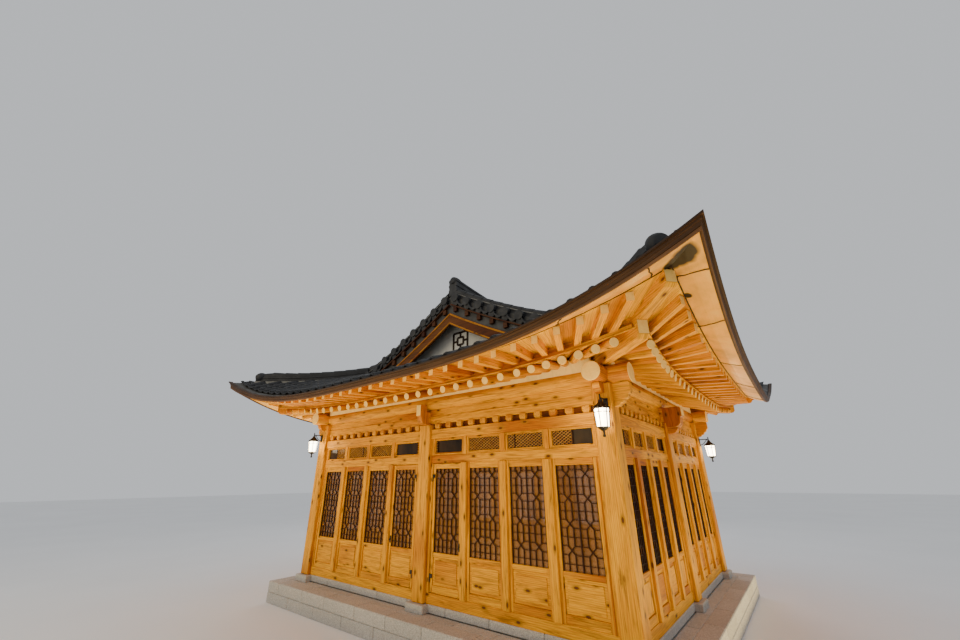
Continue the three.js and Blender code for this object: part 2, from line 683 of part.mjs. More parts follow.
// One side's wall between its corner columns: middle column, sill, posts, beams, leaves and vents.
function wall(side, doors) {
  const end = side.half - COLUMN / 2 - FIT;
  const y = (front, back) => [-side.line + front, -side.line + back];
  const through = y(-COLUMN, COLUMN);
  const upright = [SILL_TOP - LAP, HEAD_BEAM_LOW + LAP];
  const hung = doors.map((door) => door.index);
  const members = [
    post(0, -side.line, COLUMN / 2, [BASE_TOP + FIT, LINTEL_TOP]),
    box([-end, end], y(BEAM_FRONT, MEMBER_BACK), [BASE_TOP + FIT, SILL_TOP]),
    box([-end, end], y(BEAM_FRONT, MEMBER_BACK), [HEAD_BEAM_LOW, HEAD_BEAM_TOP]),
    box([-end, end], y(-LINTEL_HALF, LINTEL_HALF), [LINTEL_LOW, LINTEL_TOP]),
    box([-end, end], y(LEAF_FRONT, MEMBER_BACK), [HEAD_BEAM_TOP - LAP, LINTEL_LOW + LAP]),
  ];
  const cuts = [];
  leafSpans(side).forEach(([left, right], i) => {
    if (i % LEAVES > 0) members.push(box([left - POST, left], y(POST_FRONT, MEMBER_BACK), upright));
    else members.push(box([left - JAMB - LAP, left], y(BEAM_FRONT, MEMBER_BACK), upright));
    if (i % LEAVES === LEAVES - 1) {
      members.push(box([right, right + JAMB + LAP], y(BEAM_FRONT, MEMBER_BACK), upright));
    }
    cuts.push(box([left + VENT_INSET, right - VENT_INSET], through, [VENT_LOW, VENT_TOP]));
    if (hung.includes(i)) return;
    members.push(box([left - LAP, right + LAP], y(LEAF_FRONT, LEAF_BACK), upright));
    cuts.push(box([left + STILE, right - STILE], through, [PANE_LOW, PANE_TOP]));
  });
  const groove = y(LEAF_BACK, LEAF_BACK + GLASS + 2 * FIT);
  cuts.push(box([-OVER, OVER], groove, [GLASS_LOW - FIT, GLASS_TOP + FIT]));
  const inside = box([-end, end], [-OVER, 0], [0, OVER]);
  const frame = cut(join(members), cuts).intersect(inside);
  return turned(join([frame, ...doors.map((door) => knuckles(door, false))]), side);
}

function glassSheet(side, doors) {
  const end = side.half - COLUMN / 2 - FIT;
  const y = [-side.line + LEAF_BACK + FIT, -side.line + LEAF_BACK + FIT + GLASS];
  const spans = leafSpans(side);
  const cuts = doors.map((door) => box(spans[door.index], [-OVER, 0], [0, HEAD_BEAM_LOW]));
  return turned(cut(box([-end, end], y, [GLASS_LOW, GLASS_TOP]), cuts), side);
}

function doorLeaf(door) {
  const [left, right] = leafSpans(FRONT_SIDE)[door.index];
  const y = [-HALF_DEPTH + LEAF_FRONT, -HALF_DEPTH + LEAF_BACK + GLASS];
  const frame = box([left + DOOR_GAP, right - DOOR_GAP], y, [SILL_TOP + DOOR_GAP, HEAD_BEAM_LOW - DOOR_GAP]);
  const pane = box([left + STILE, right - STILE], [-OVER, 0], [PANE_LOW, PANE_TOP]);
  const rebate = box(
    [left + STILE - REBATE, right - STILE + REBATE],
    [-HALF_DEPTH + LEAF_BACK - FIT, 0],
    [PANE_LOW - REBATE, PANE_TOP + REBATE],
  );
  return cut(frame, [pane, rebate]).add(knuckles(door, true));
}

function doorGlass(door) {
  const [left, right] = leafSpans(FRONT_SIDE)[door.index];
  const inset = STILE - REBATE + FIT;
  return box(
    [left + inset, right - inset],
    [-HALF_DEPTH + LEAF_BACK, -HALF_DEPTH + LEAF_BACK + GLASS],
    [PANE_LOW - REBATE + FIT, PANE_TOP + REBATE - FIT],
  );
}

// The column line's places that carry a column: all but the middle of the plan.
function columnPlaces() {
  const xs = [-HALF_WIDTH, 0, HALF_WIDTH];
  const ys = [-HALF_DEPTH, 0, HALF_DEPTH];
  return xs.flatMap((x) => ys.map((y) => [x, y])).filter(([x, y]) => x !== 0 || y !== 0);
}

function platform() {
  const outX = HALF_WIDTH + PLATFORM_OUT;
  const outY = HALF_DEPTH + PLATFORM_OUT;
  const slab = box([-outX, outX], [-outY, outY], [0, PLATFORM_TOP]);
  const bases = columnPlaces().map(([x, y]) => post(x, y, BASE_SIDE / 2, [PLATFORM_TOP - LAP, BASE_TOP]));
  const ring = (grow, z) => {
    const x = HALF_WIDTH + grow;
    const y = HALF_DEPTH + grow;
    return box([-x, x], [-y, y], z);
  };
  const outer = ring(PLINTH_DEPTH / 2, [PLATFORM_TOP - LAP, BASE_TOP]);
  const inner = ring(-PLINTH_DEPTH / 2, [PLATFORM_TOP - 2 * LAP, BASE_TOP + LAP]);
  return join([slab, outer.subtract(inner), ...bases]);
}

function floorSlab() {
  const x = HALF_WIDTH - MEMBER_BACK - FIT;
  const y = HALF_DEPTH - MEMBER_BACK - FIT;
  const ring = BASE_SIDE / 2 + FIT;
  const lowX = HALF_WIDTH - ring;
  const lowY = HALF_DEPTH - ring;
  const lower = box([-lowX, lowX], [-lowY, lowY], [PLATFORM_TOP + FIT, BASE_TOP + LAP]);
  const upper = box([-x, x], [-y, y], [BASE_TOP + FIT, FLOOR_TOP]);
  const notches = columnPlaces().map(([cx, cy]) =>
    post(cx, cy, COLUMN / 2 + FIT, [BASE_TOP - LAP, FLOOR_TOP + LAP]),
  );
  return cut(lower.add(upper), notches);
}

// The tie beam crosses the house on its side middle columns, and the cross beams meet it from front and back.
function tieBeam() {
  const end = HALF_WIDTH + BEAM_END;
  const face = HALF_WIDTH + COLUMN / 2 + FIT;
  const beam = box([-end, end], [-BEAM_HALF, BEAM_HALF], [LINTEL_TOP + FIT, PURLIN_SEAT - FIT]);
  const noses = [-1, 1].map((sign) =>
    box(span(sign, face, end - NOSE_SHORT), [-NOSE_HALF, NOSE_HALF], [NOSE_LOW, LINTEL_TOP + 2 * LAP]),
  );
  return join([beam, ...noses]);
}

function crossBeam(sign) {
  const x = [-CROSS_HALF, CROSS_HALF];
  const out = HALF_DEPTH + CROSS_END;
  return join([
    box(x, span(sign, BEAM_HALF + FIT, out - CROSS_SHORT), [CROSS_LOW, CROSS_TOP]),
    box(x, span(sign, HALF_DEPTH + CROSS_HEAD_IN, out), CROSS_HEAD),
    box(x, span(sign, HALF_DEPTH - COLUMN / 2, HALF_DEPTH + COLUMN / 2), [LINTEL_TOP + FIT, CROSS_LOW + LAP]),
  ]);
}

function roofFrame() {
  const x = HALF_WIDTH - RAFTER_IN;
  const y = HALF_DEPTH - RAFTER_IN;
  const ring = (grow, z) => box([-x - grow, x + grow], [-y - grow, y + grow], z);
  const outer = ring(RING_HALF, [RING_LOW, RING_TOP]);
  const inner = ring(-RING_HALF, [RING_LOW - LAP, RING_TOP + LAP]);
  const low = RING_LOW + LAP;
  return join([
    outer.subtract(inner),
    post(-x, 0, RING_POST_HALF, [PURLIN_SEAT, low]),
    post(x, 0, RING_POST_HALF, [PURLIN_SEAT, low]),
    post(0, -y, CROSS_HALF, [CROSS_TOP + FIT, low]),
    post(0, y, CROSS_HALF, [CROSS_TOP + FIT, low]),
  ]);
}

// The strips under the purlins, joined all round and notched for the beams that pass through them.
function bearingRing() {
  const fat = 2 * FIT;
  const all = [-OVER, OVER];
  const tie = box(all, [-BEAM_HALF - fat, BEAM_HALF + fat], [LINTEL_TOP - LAP, PURLIN_SEAT + LAP]);
  const cross = box([-CROSS_HALF - fat, CROSS_HALF + fat], all, [LINTEL_TOP - LAP, CROSS_TOP + fat]);
  return cut(join(SIDES.map((side) => turned(bearing(side), side))), [tie, cross]);
}

// The roof's outline over the gables, this far under its top.
function upperOutline(halfSpan, drop) {
  const steps = 12;
  return Array.from({ length: steps + 1 }, (_, i) => {
    const x = lerp(-halfSpan, halfSpan, i / steps);
    return [x, roofHeight(MAIN_RUN - Math.abs(x)) - drop];
  });
}

const GABLE_LINE = HALF_DEPTH + GABLE_OUT;

function gableWall(sign) {
  const half = HALF_WIDTH - RAFTER_IN - 2 * FIT;
  const low = BOARD_TOP + RAFTER_SLOPE * (GABLE_DEPTH - GABLE_OUT) + 1;
  const points = [...upperOutline(half, UPPER_DEPTH + 1), [half, low], [-half, low]];
  return profile(points, GABLE_DEPTH, 0, 0, sign * (GABLE_LINE - GABLE_DEPTH / 2));
}

function bargeboard(sign) {
  const top = upperOutline(MAIN_RUN - VERGE_RUN - BARGE_SHORT, BARGE_DROP);
  const under = top.map(([x, z]) => [x, z - BARGE_HEIGHT]).reverse();
  return profile([...top, ...under], BARGE_THICK, 0, 0, sign * (VERGE_HALF + FIT + BARGE_THICK / 2));
}

// Ridges: the main one, and one from each of its ends down the verge and out along the hip.
function mainRidge() {
  const end = VERGE_HALF - RIDGE_SHORT;
  const low = roofHeight(MAIN_RUN) - RIDGE_SEAT;
  const top = roofHeight(MAIN_RUN) + MAIN_RIDGE_HEIGHT;
  const points = [
    [-end, low],
    [end, low],
    [end, top + MAIN_RIDGE_ENDS],
    [end / 2, top + MAIN_RIDGE_QUARTER],
    [0, top],
    [-end / 2, top + MAIN_RIDGE_QUARTER],
    [-end, top + MAIN_RIDGE_ENDS],
  ];
  return profile(points, MAIN_RIDGE_WIDTH, Math.PI / 2, 0, 0);
}

function ridgeBar(line, heights, angle, x, y) {
  const under = line.map(([d, z]) => [d, z - RIDGE_SEAT]);
  const top = line.map(([d, z], i) => [d, z + heights[i]]).reverse();
  return profile([...under, ...top], RIDGE_WIDTH, angle, x, y);
}

function cornerRidge(corner) {
  const start = MAIN_RIDGE_WIDTH / 2 + FIT;
  const verge = VERGE_RIDGE.map(([share]) => {
    const x = lerp(start, MAIN_RUN - VERGE_RUN, share);
    const run = MAIN_RUN - x;
    return [x, roofHeight(run) + EAVE_LIFT * fade(run)];
  });
  const hip = HIP_RIDGE.map(([run]) => [hipOut(run) * Math.SQRT2, roofHeight(run) + EAVE_LIFT * fade(run)]);
  const heights = (list) => list.map(([, height]) => height);
  const first = ridgeBar(verge, heights(VERGE_RIDGE), 0, 0, -VERGE_HALF + RIDGE_WIDTH / 2);
  const second = ridgeBar(hip, heights(HIP_RIDGE), -Math.PI / 4, HALF_WIDTH, -HALF_DEPTH);
  return first.add(second).scale([corner.x, -corner.y, 1]);
}

// The ridge purlin spans between the gable walls on a king post.
function ridgePurlin() {
  const half = RIDGE_PURLIN / 2;
  const top = roofHeight(MAIN_RUN - half) - UPPER_DEPTH - 1;
  const end = GABLE_LINE - GABLE_DEPTH - FIT;
  const timber = box([-half, half], [-end, end], [top - RIDGE_PURLIN, top]);
  return timber.add(post(0, 0, KING_POST_HALF, [PURLIN_SEAT, top - RIDGE_PURLIN + LAP]));
}

function lantern() {
  const y = -LANTERN_REACH;
  const plate = [-LANTERN_PLATE_HALF, LANTERN_PLATE_HALF];
  return join([
    post(0, y, LANTERN_SIDE / 2, LANTERN_CASE),
    post(0, y, LANTERN_CAP_HALF, [LANTERN_CASE[1] - LAP, LANTERN_TOP]),
    post(0, y, LANTERN_FINIAL_HALF, [LANTERN_LOW, LANTERN_CASE[0] + LAP]),
    box([-LANTERN_ARM_HALF, LANTERN_ARM_HALF], [y, -LANTERN_PLATE_DEPTH + LAP], LANTERN_ARM),
    box(plate, [-LANTERN_PLATE_DEPTH, -FIT], LANTERN_PLATE),
  ]);
}

const LANTERNS = [
  { name: "front_right", x: HALF_WIDTH + LANTERN_SHIFT, y: -HALF_DEPTH - COLUMN / 2, drop: 0, turn: 0 },
  { name: "front_left", x: -HALF_WIDTH - LANTERN_SHIFT, y: -HALF_DEPTH - COLUMN / 2, drop: 0, turn: 0 },
  { name: "back_right", x: HALF_WIDTH + COLUMN / 2, y: HALF_DEPTH, drop: LANTERN_DROP, turn: 90 },
];

const PINE = { color: 0xd58a35, roughness: 0.55, metalness: 0 };
const PALE_PINE = { color: 0xdba35a, roughness: 0.6, metalness: 0 };
const TILE = { color: 0x2b2c2f, roughness: 0.8, metalness: 0 };
const STONE = { color: 0xa8a49a, roughness: 0.9, metalness: 0 };
const PLASTER = { color: 0xe9e2d2, roughness: 0.9, metalness: 0 };
const GLAZING = { color: 0x8fa3a0, roughness: 0.05, metalness: 0, transparent: true, opacity: 0.35 };
const GUTTER = { color: 0x6b4a2b, roughness: 0.5, metalness: 0.4 };
const IRON = { color: 0x1b1a19, roughness: 0.5, metalness: 0.6 };

const group = new THREE.Group();
group.name = "hanok_house";

function add(name, body, look) {
  const made = body.asOriginal().simplify(0.02).getMesh();
  const geometry = new THREE.BufferGeometry();
  geometry.setAttribute("position", new THREE.BufferAttribute(new Float32Array(made.vertProperties), 3));
  geometry.setIndex(new THREE.BufferAttribute(new Uint32Array(made.triVerts), 1));
  const mesh = new THREE.Mesh(geometry, new THREE.MeshStandardMaterial(look));
  mesh.name = name;
  group.add(mesh);
}

// Platform, floor, columns and walls.
add("stone_platform", platform(), STONE);
add("floor", floorSlab(), PALE_PINE);
for (const corner of CORNERS) {
  const height = [BASE_TOP + FIT, BLOCK_TOP - FIT];
  add("column_" + corner.name, post(corner.x * HALF_WIDTH, corner.y * HALF_DEPTH, COLUMN / 2, height), PINE);
}
for (const side of SIDES) {
  const doors = side === FRONT_SIDE ? DOORS : [];
  add("wall_" + side.name, wall(side, doors), PINE);
  add("glass_" + side.name, glassSheet(side, doors), GLAZING);
}
for (const door of DOORS) {
  add("door_leaf_" + door.name, doorLeaf(door), PINE);
  add("door_glass_" + door.name, doorGlass(door), GLAZING);
}

// Beams, purlins and rafters.
add("tie_beam", tieBeam(), PINE);
for (const end of ENDS) add("cross_beam_" + end.name, crossBeam(end.sign), PINE);
add("roof_frame", roofFrame(), PINE);
for (const end of ENDS) {
  const half = box([-OVER, OVER], span(end.sign, 0, OVER), [0, OVER]);
  add("bearing_" + end.name, bearingRing().intersect(half), PINE);
}
SIDES.forEach((side, i) => {
  const onFront = i % 2 === 0;
  const neighbours = [SIDES[(i + 1) % 4], SIDES[(i + 3) % 4]];
  const tools = neighbours.map((other) => halving(purlin(other), onFront));
  add("purlin_" + side.name, cut(purlin(side), tools), PINE);
});
for (const side of SIDES) add("rafters_" + side.name, roundRafters(side), PINE);
for (const side of SIDES) add("flying_rafters_" + side.name, flyingRafters(side), PINE);
for (const corner of CORNERS) add("hip_rafter_" + corner.name, hipRafter(corner, 0), PINE);
const hipCuts = CORNERS.map((corner) => hipRafter(corner, FIT));
add("eave_gutter", cut(join(SIDES.map(eaveLength)), hipCuts), GUTTER);

// Roof slopes, gables and ridges.
const slopes = (grow) => [mainSlope(RIGHT_SIDE, grow), mainSlope(LEFT_SIDE, grow)];
const grownSlopes = slopes(FIT);
const grownRoof = [...slopes(RIDGE_GAP), skirt(FRONT_SIDE, RIDGE_GAP), skirt(BACK_SIDE, RIDGE_GAP)];
add("roof_slope_right", mainSlope(RIGHT_SIDE, 0), TILE);
add("roof_slope_left", mainSlope(LEFT_SIDE, 0), TILE);
add("roof_skirt_front", largest(cut(skirt(FRONT_SIDE, 0), grownSlopes)), TILE);
add("roof_skirt_back", largest(cut(skirt(BACK_SIDE, 0), grownSlopes)), TILE);
for (const end of ENDS) add("gable_wall_" + end.name, cut(gableWall(end.sign), grownSlopes), PLASTER);
for (const end of ENDS) add("bargeboard_" + end.name, largest(cut(bargeboard(end.sign), grownRoof)), PINE);
add("main_ridge", largest(cut(mainRidge(), grownSlopes)), TILE);
for (const corner of CORNERS) {
  add("corner_ridge_" + corner.name, largest(cut(cornerRidge(corner), grownRoof)), TILE);
}
add("ridge_purlin", ridgePurlin(), PINE);

for (const place of LANTERNS) {
  const hung = lantern().rotate([0, 0, place.turn]).translate([place.x, place.y, -place.drop]);
  add("lantern_" + place.name, hung, IRON);
}

export default group;
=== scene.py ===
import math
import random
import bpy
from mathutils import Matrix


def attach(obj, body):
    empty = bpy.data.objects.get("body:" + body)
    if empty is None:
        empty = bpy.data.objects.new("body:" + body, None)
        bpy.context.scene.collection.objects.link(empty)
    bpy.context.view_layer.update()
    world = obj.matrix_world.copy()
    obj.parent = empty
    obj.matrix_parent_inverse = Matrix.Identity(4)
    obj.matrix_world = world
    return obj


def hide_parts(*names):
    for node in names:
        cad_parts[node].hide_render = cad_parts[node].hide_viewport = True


bl_info = {
    "name": "Hanok house dressing",
    "version": (1, 0, 0),
    "blender": (4, 5, 0),
    "location": "3D View > Sidebar > Hanok",
    "description": "Dresses a packed timber house with rafters, boards, lattices, tiles and finishes",
    "category": "Object",
}

import bpy
import numpy as np
from mathutils import Matrix, Vector

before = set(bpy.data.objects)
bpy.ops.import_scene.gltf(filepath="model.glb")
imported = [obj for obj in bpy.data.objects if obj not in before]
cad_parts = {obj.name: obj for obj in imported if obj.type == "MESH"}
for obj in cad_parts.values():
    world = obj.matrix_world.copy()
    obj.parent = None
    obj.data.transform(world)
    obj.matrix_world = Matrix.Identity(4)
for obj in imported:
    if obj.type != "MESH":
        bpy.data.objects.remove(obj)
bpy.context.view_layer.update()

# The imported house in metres: columns, levels and the curves of its eaves.
HALF_WIDTH, HALF_DEPTH, COLUMN = 3.64, 2.86, 0.29
PLATFORM_OUT, PLATFORM_TOP, BASE_TOP, FLOOR_TOP, SILL_TOP = 0.6, 0.4, 0.52, 0.6, 0.68
HEAD_LOW, HEAD_TOP, LINTEL_LOW, LINTEL_TOP = 2.734, 2.878, 3.182, 3.355
BLOCK_TOP, STRIP_JOINT = 3.465, 3.612
PURLIN_SEAT, PURLIN_CENTRE, PURLIN_RADIUS, PURLIN_END = 3.751, 3.883, 0.144, 0.43
LEAF_FRONT, LEAF_BACK, POST_FRONT, BEAM_FRONT, MEMBER_BACK = -0.07, -0.0255, -0.11, -0.075, 0.045
LINTEL_FRONT = -0.095
POST, JAMB, STILE, VENT_RIM, VENT_SIDE = 0.12, 0.07, 0.05, 0.018, 0.02
PANE_LOW, PANE_TOP, VENT_LOW, VENT_TOP = 1.28, 2.637, 2.923, 3.142
LEAVES, DOOR_GAP, HINGE_OUT, HINGE_HEIGHTS, PIN = 4, 0.009, 2.945, (0.9, 2.48), 0.009
RAFTER_SLOPE, RAFTER_OUT, RAFTER_IN, RAFTER_PITCH = 0.25, 0.8, 1.0, 0.31
FAN_RAFTERS, FAN_PITCH, FAN_TAIL = 6, 0.258, 0.09
FLYING_WIDTH, FLYING_HEIGHT, FLYING_OUT, FLYING_TIP_LOW = 0.09, 0.11, 1.41, 3.978
BATTEN, HIP_WIDTH, HIP_TIP_OUT, BOARD, STOP_BACK = 0.04, 0.15, 1.435, 0.018, 0.06
EAVE_OUT, EAVE_TOP, GUTTER_LOW = 1.8, 4.026, 3.946
SHEET, SHEET_END, SHEET_FOOT, SHEET_SAG = 0.012, 0.07, 0.004, 0.012
ROUND_SWEEP, FLYING_SWEEP, EAVE_SWEEP = 0.141, 0.03, 0.11
ROUND_LIFT, FLYING_LIFT, EAVE_LIFT, GUTTER_LIFT, CURVE = 0.25, 0.49, 0.8, 0.738, 3.3
RISE_SLOPE, RISE_CURVE = 0.403, 0.00212
VERGE_RUN, GABLE_RUN, UPPER_RUN, MAIN_RUN, VERGE_HALF, VERGE_CENTRE = 2.35, 2.7, 2.8, 5.44, 2.31, 2.2
GABLE_LINE, BARGE_TOP, BARGE_LOW = 1.96, 0.463, 0.753
RAFTER_GROWTH = math.hypot(1, RAFTER_SLOPE)
RAFTER_RISE = 0.065 * RAFTER_GROWTH
PURLIN_REACH = PURLIN_RADIUS / math.cos(math.pi / 16) + 0.0003
RAFTER_CENTRE = PURLIN_CENTRE + PURLIN_REACH * RAFTER_GROWTH + RAFTER_RISE

# Stains on the soffit sheets: the place at the back right corner, which the others mirror, and the radius.
STAINS = (
    ((5.12, 4.37, 4.585), 0.085),
    ((5.19, 4.42, 4.6), 0.11),
    ((5.255, 4.46, 4.615), 0.12),
    ((5.31, 4.5, 4.625), 0.105),
    ((5.13, 3.82, 4.416), 0.045),
)
# Heights of the ridges over the roof: the share of the verge from the top, or the run of the hip.
VERGE_RIDGE = ((0, 0.27), (0.15, 0.24), (0.35, 0.215), (0.6, 0.208), (0.8, 0.222), (0.92, 0.25), (1, 0.29))
HIP_RIDGE = (
    (0.46, 0.22), (0.56, 0.262), (0.66, 0.285), (0.78, 0.288), (0.95, 0.272), (1.2, 0.264), (1.6, 0.262),
    (2.39, 0.265),
)
# Courses of the ridges as half their width and their number, and the heights of the mortar under them.
MAIN_COURSES, SIDE_COURSES = (0.13, 7), (0.105, 4)
RIDGE_BED, VERGE_BED = (-0.05, 0.022), (0.094, 0.108)
# The domed end of a ridge: how far below the crown, how far back from its tip, and its half sizes.
RIDGE_LUMP, HIP_LUMP = (0.03, 0.12, (0.2, 0.118, 0.12)), (0.03, 0.09, (0.15, 0.14, 0.13))
# Profiles at the eave: back from its edge, share of the gutter's height, and height over that.
EAVE_PROFILES = {
    "stepped_gutter_": (
        (0.085, 0, 0.012), (0.085, 0, -0.006), (0.062, 0, -0.008), (0.058, 0.2, 0), (0.044, 0.26, 0),
        (0.04, 0.52, 0), (0.024, 0.6, 0), (0.022, 0.8, 0), (0.002, 0.84, 0), (0, 1, -0.004), (0.012, 1, 0),
        (0.06, 1, -0.004), (0.075, 0, 0.03),
    ),
    "gutter_lip_": ((0.004, 1, -0.022), (-0.003, 1, -0.018), (-0.003, 1, 0.003), (0.02, 1, 0.004)),
    "gutter_bead_": ((0.066, 0, -0.013), (0.05, 0, -0.008), (0.048, 0.19, 0), (0.062, 0.2, 0)),
}
# Outlines of the carved heads: outwards from the columns' line, and height.
BEAM_HEAD = (
    (0.1, 3.36), (0.3, 3.36), (0.355, 3.38), (0.395, 3.43), (0.412, 3.5), (0.414, 3.545), (0.45, 3.56),
    (0.45, 3.7), (0.43, 3.745), (0.1, 3.745),
)
BEAM_NOSE = ((0.1, 3.245), (0.225, 3.25), (0.28, 3.272), (0.318, 3.318), (0.33, 3.362), (0.1, 3.362))
CROSS_HEAD = (
    (0.1, 3.452), (0.2, 3.46), (0.27, 3.49), (0.298, 3.545), (0.305, 3.6), (0.33, 3.606), (0.33, 3.826),
    (0.17, 3.826), (0.165, 3.7), (0.1, 3.7),
)
LONG_HEAD = (
    (0.05, 3.402), (0.19, 3.402), (0.225, 3.415), (0.243, 3.445), (0.275, 3.45), (0.298, 3.47), (0.305, 3.5),
    (0.335, 3.508), (0.357, 3.53), (0.362, 3.56), (0.386, 3.575), (0.4, 3.61), (0.4, 3.72), (0.385, 3.745),
    (0.05, 3.745),
)
SHORT_HEAD = (
    (0.05, 3.594), (0.17, 3.594), (0.215, 3.6), (0.245, 3.622), (0.25, 3.645), (0.278, 3.655), (0.298, 3.69),
    (0.3, 3.73), (0.29, 3.745), (0.05, 3.745),
)
# Each side as its name, half its length, its distance from the middle, and its quarter turns.
SIDES = (
    ("front", HALF_WIDTH, HALF_DEPTH, 0),
    ("right", HALF_DEPTH, HALF_WIDTH, 1),
    ("back", HALF_WIDTH, HALF_DEPTH, 2),
    ("left", HALF_DEPTH, HALF_WIDTH, 3),
)
# Each corner as its name, its quarter turns, and the signs of its X and Y.
CORNERS = (
    ("front_right", 0, 1, -1), ("back_right", 1, 1, 1), ("back_left", 2, -1, 1), ("front_left", 3, -1, -1),
)
DOOR_LEAVES = {LEAVES - 1: "left", LEAVES: "right"}
luck = random.Random(20)
look = {}
shapes = {}


def length_property(name, description, default):
    return bpy.props.FloatProperty(name=name, description=description, default=default, unit="LENGTH")


def colour_property(name, description, default):
    return bpy.props.FloatVectorProperty(
        name=name, description=description, default=default, size=3, subtype="COLOR", min=0, max=1
    )


class HanokSizes(bpy.types.PropertyGroup):
    """Sizes of the pieces that dress the house"""

    rafter_radius: length_property("Rafter radius", "Radius of the round rafters", 0.064)
    tile_pitch: length_property("Tile pitch", "Distance between the rows of cover tiles", 0.295)
    cover_radius: length_property("Cover tile radius", "Outer radius of the cover tiles", 0.065)
    cover_length: length_property("Cover tile length", "Length of each cover tile that shows", 0.31)
    pan_length: length_property("Pan tile length", "Length of each pan tile that shows", 0.15)
    lattice_bar: length_property("Lattice bar", "Width of the bars in the leaves", 0.014)
    plank_width: length_property("Plank width", "Width of the floor planks", 0.2)
    stone_length: length_property("Stone length", "Mean length of the platform's stones", 0.9)
    chamfer: length_property("Chamfer", "Width of the chamfers on squared timber", 0.006)
    blocks: bpy.props.IntProperty(
        name="Bearing blocks", description="Number of bearing blocks in each bay", default=12
    )


class HanokColours(bpy.types.PropertyGroup):
    """Colours of the house's finishes"""

    pine: colour_property("Pine", "Middle colour of the oiled pine", (0.72, 0.33, 0.004))
    boards: colour_property("Boards", "Middle colour of the roof boards", (0.80, 0.40, 0.006))
    rafter_end: colour_property("Rafter ends", "Cream paint on the rafter ends", (1.0, 0.72, 0.20))
    lattice: colour_property("Lattice", "Dark stain of the lattice bars", (0.032, 0.012, 0.005))
    tile: colour_property("Tile", "Fired grey of the roof tiles", (0.0145, 0.0145, 0.0155))
    plaster: colour_property("Plaster", "Lime plaster of the gables", (0.80, 0.76, 0.66))
    copper: colour_property("Copper", "Sheets under the eaves", (0.92, 0.46, 0.07))
    gutter: colour_property("Gutter", "Brown sheet of the gutter", (0.062, 0.028, 0.010))
    granite: colour_property("Granite", "Stones of the platform", (0.46, 0.44, 0.40))
    glow: colour_property("Lantern glow", "Light of the lantern glass", (1.0, 0.86, 0.62))


# Small helpers for editing and for directions.
def start_edit(obj):
    for other in bpy.context.selected_objects:
        other.select_set(False)
    bpy.context.view_layer.objects.active = obj
    obj.select_set(True)
    bpy.ops.object.mode_set(mode="EDIT")
    bpy.ops.mesh.select_all(action="SELECT")


def end_edit():
    bpy.ops.object.mode_set(mode="OBJECT")


def pick_faces(obj, test):
    """Selects the faces whose normal passes a test."""
    end_edit()
    for items in (obj.data.vertices, obj.data.edges):
        for item in items:
            item.select = False
    for face in obj.data.polygons:
        face.select = test(face.normal)
    bpy.ops.object.mode_set(mode="EDIT")


def turned(points, quarter):
    """Points of a piece made as if at the front, turned by quarter turns about the plan's centre."""
    x, y, z = points[:, 0], points[:, 1], points[:, 2]
    for _ in range(quarter % 4):
        x, y = -y, x
    return np.stack([x, y, z], 1)


def unit(vector):
    return vector / np.linalg.norm(vector)


def axes_along(along, up=(0, 0, 1)):
    """Unit directions along, across and up, for a member that runs this way."""
    along = unit(along)
    across = np.cross(up, along)
    if np.linalg.norm(across) < 0.001:
        across = np.array([1.0, 0, 0])
    across = unit(across)
    return np.stack([along, across, np.cross(along, across)])


def shift():
    """A random place in the grain, so that no two timbers look alike."""
    return np.array([luck.uniform(0, 60), luck.uniform(0, 60)])


def flat_uv(shape, local, offset):
    """The grain runs along local X, and each face takes the two directions that lie in it."""
    facing = np.repeat(np.abs(shape["normals"]).argmax(1), shape["totals"])
    place = local[shape["loops"]]
    u = np.where(facing == 0, place[:, 1], place[:, 0])
    v = np.where(facing == 1, place[:, 2], place[:, 1] + 0.4)
    v = np.where(facing == 0, place[:, 2], v)
    return np.stack([u, v], 1) + offset


def read(items, field, width=1, kind=float):
    values = np.empty(len(items) * width, kind)
    items.foreach_get(field, values)
    return values.reshape(-1, width) if width > 1 else values


def read_shape(obj, smooth=False):
    """Takes a finished shape off the scene as arrays, so that copies of it can be laid."""
    start_edit(obj)
    end_edit()
    bpy.ops.object.transform_apply(location=True, rotation=True, scale=True)
    mesh = obj.data
    shape = {
        "points": read(mesh.vertices, "co", 3),
        "loops": read(mesh.loops, "vertex_index", kind=np.int32),
        "starts": read(mesh.polygons, "loop_start", kind=np.int32),
        "totals": read(mesh.polygons, "loop_total", kind=np.int32),
        "normals": read(mesh.polygons, "normal", 3),
        "smooth": smooth,
    }
    bpy.data.objects.remove(obj)
    bpy.data.meshes.remove(mesh)
    return shape


def use(node, finish):
    """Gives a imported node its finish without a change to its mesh."""
    node.data.materials.clear()
    node.data.materials.append(look[finish])


def settle(obj, finishes, body="house", nodes=()):
    """Gives a finished piece its finishes and the body that it moves with."""
    obj.data.materials.clear()
    for finish in finishes.split():
        obj.data.materials.append(look[finish])
    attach(obj, body)
    if nodes:
        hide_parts(*nodes)


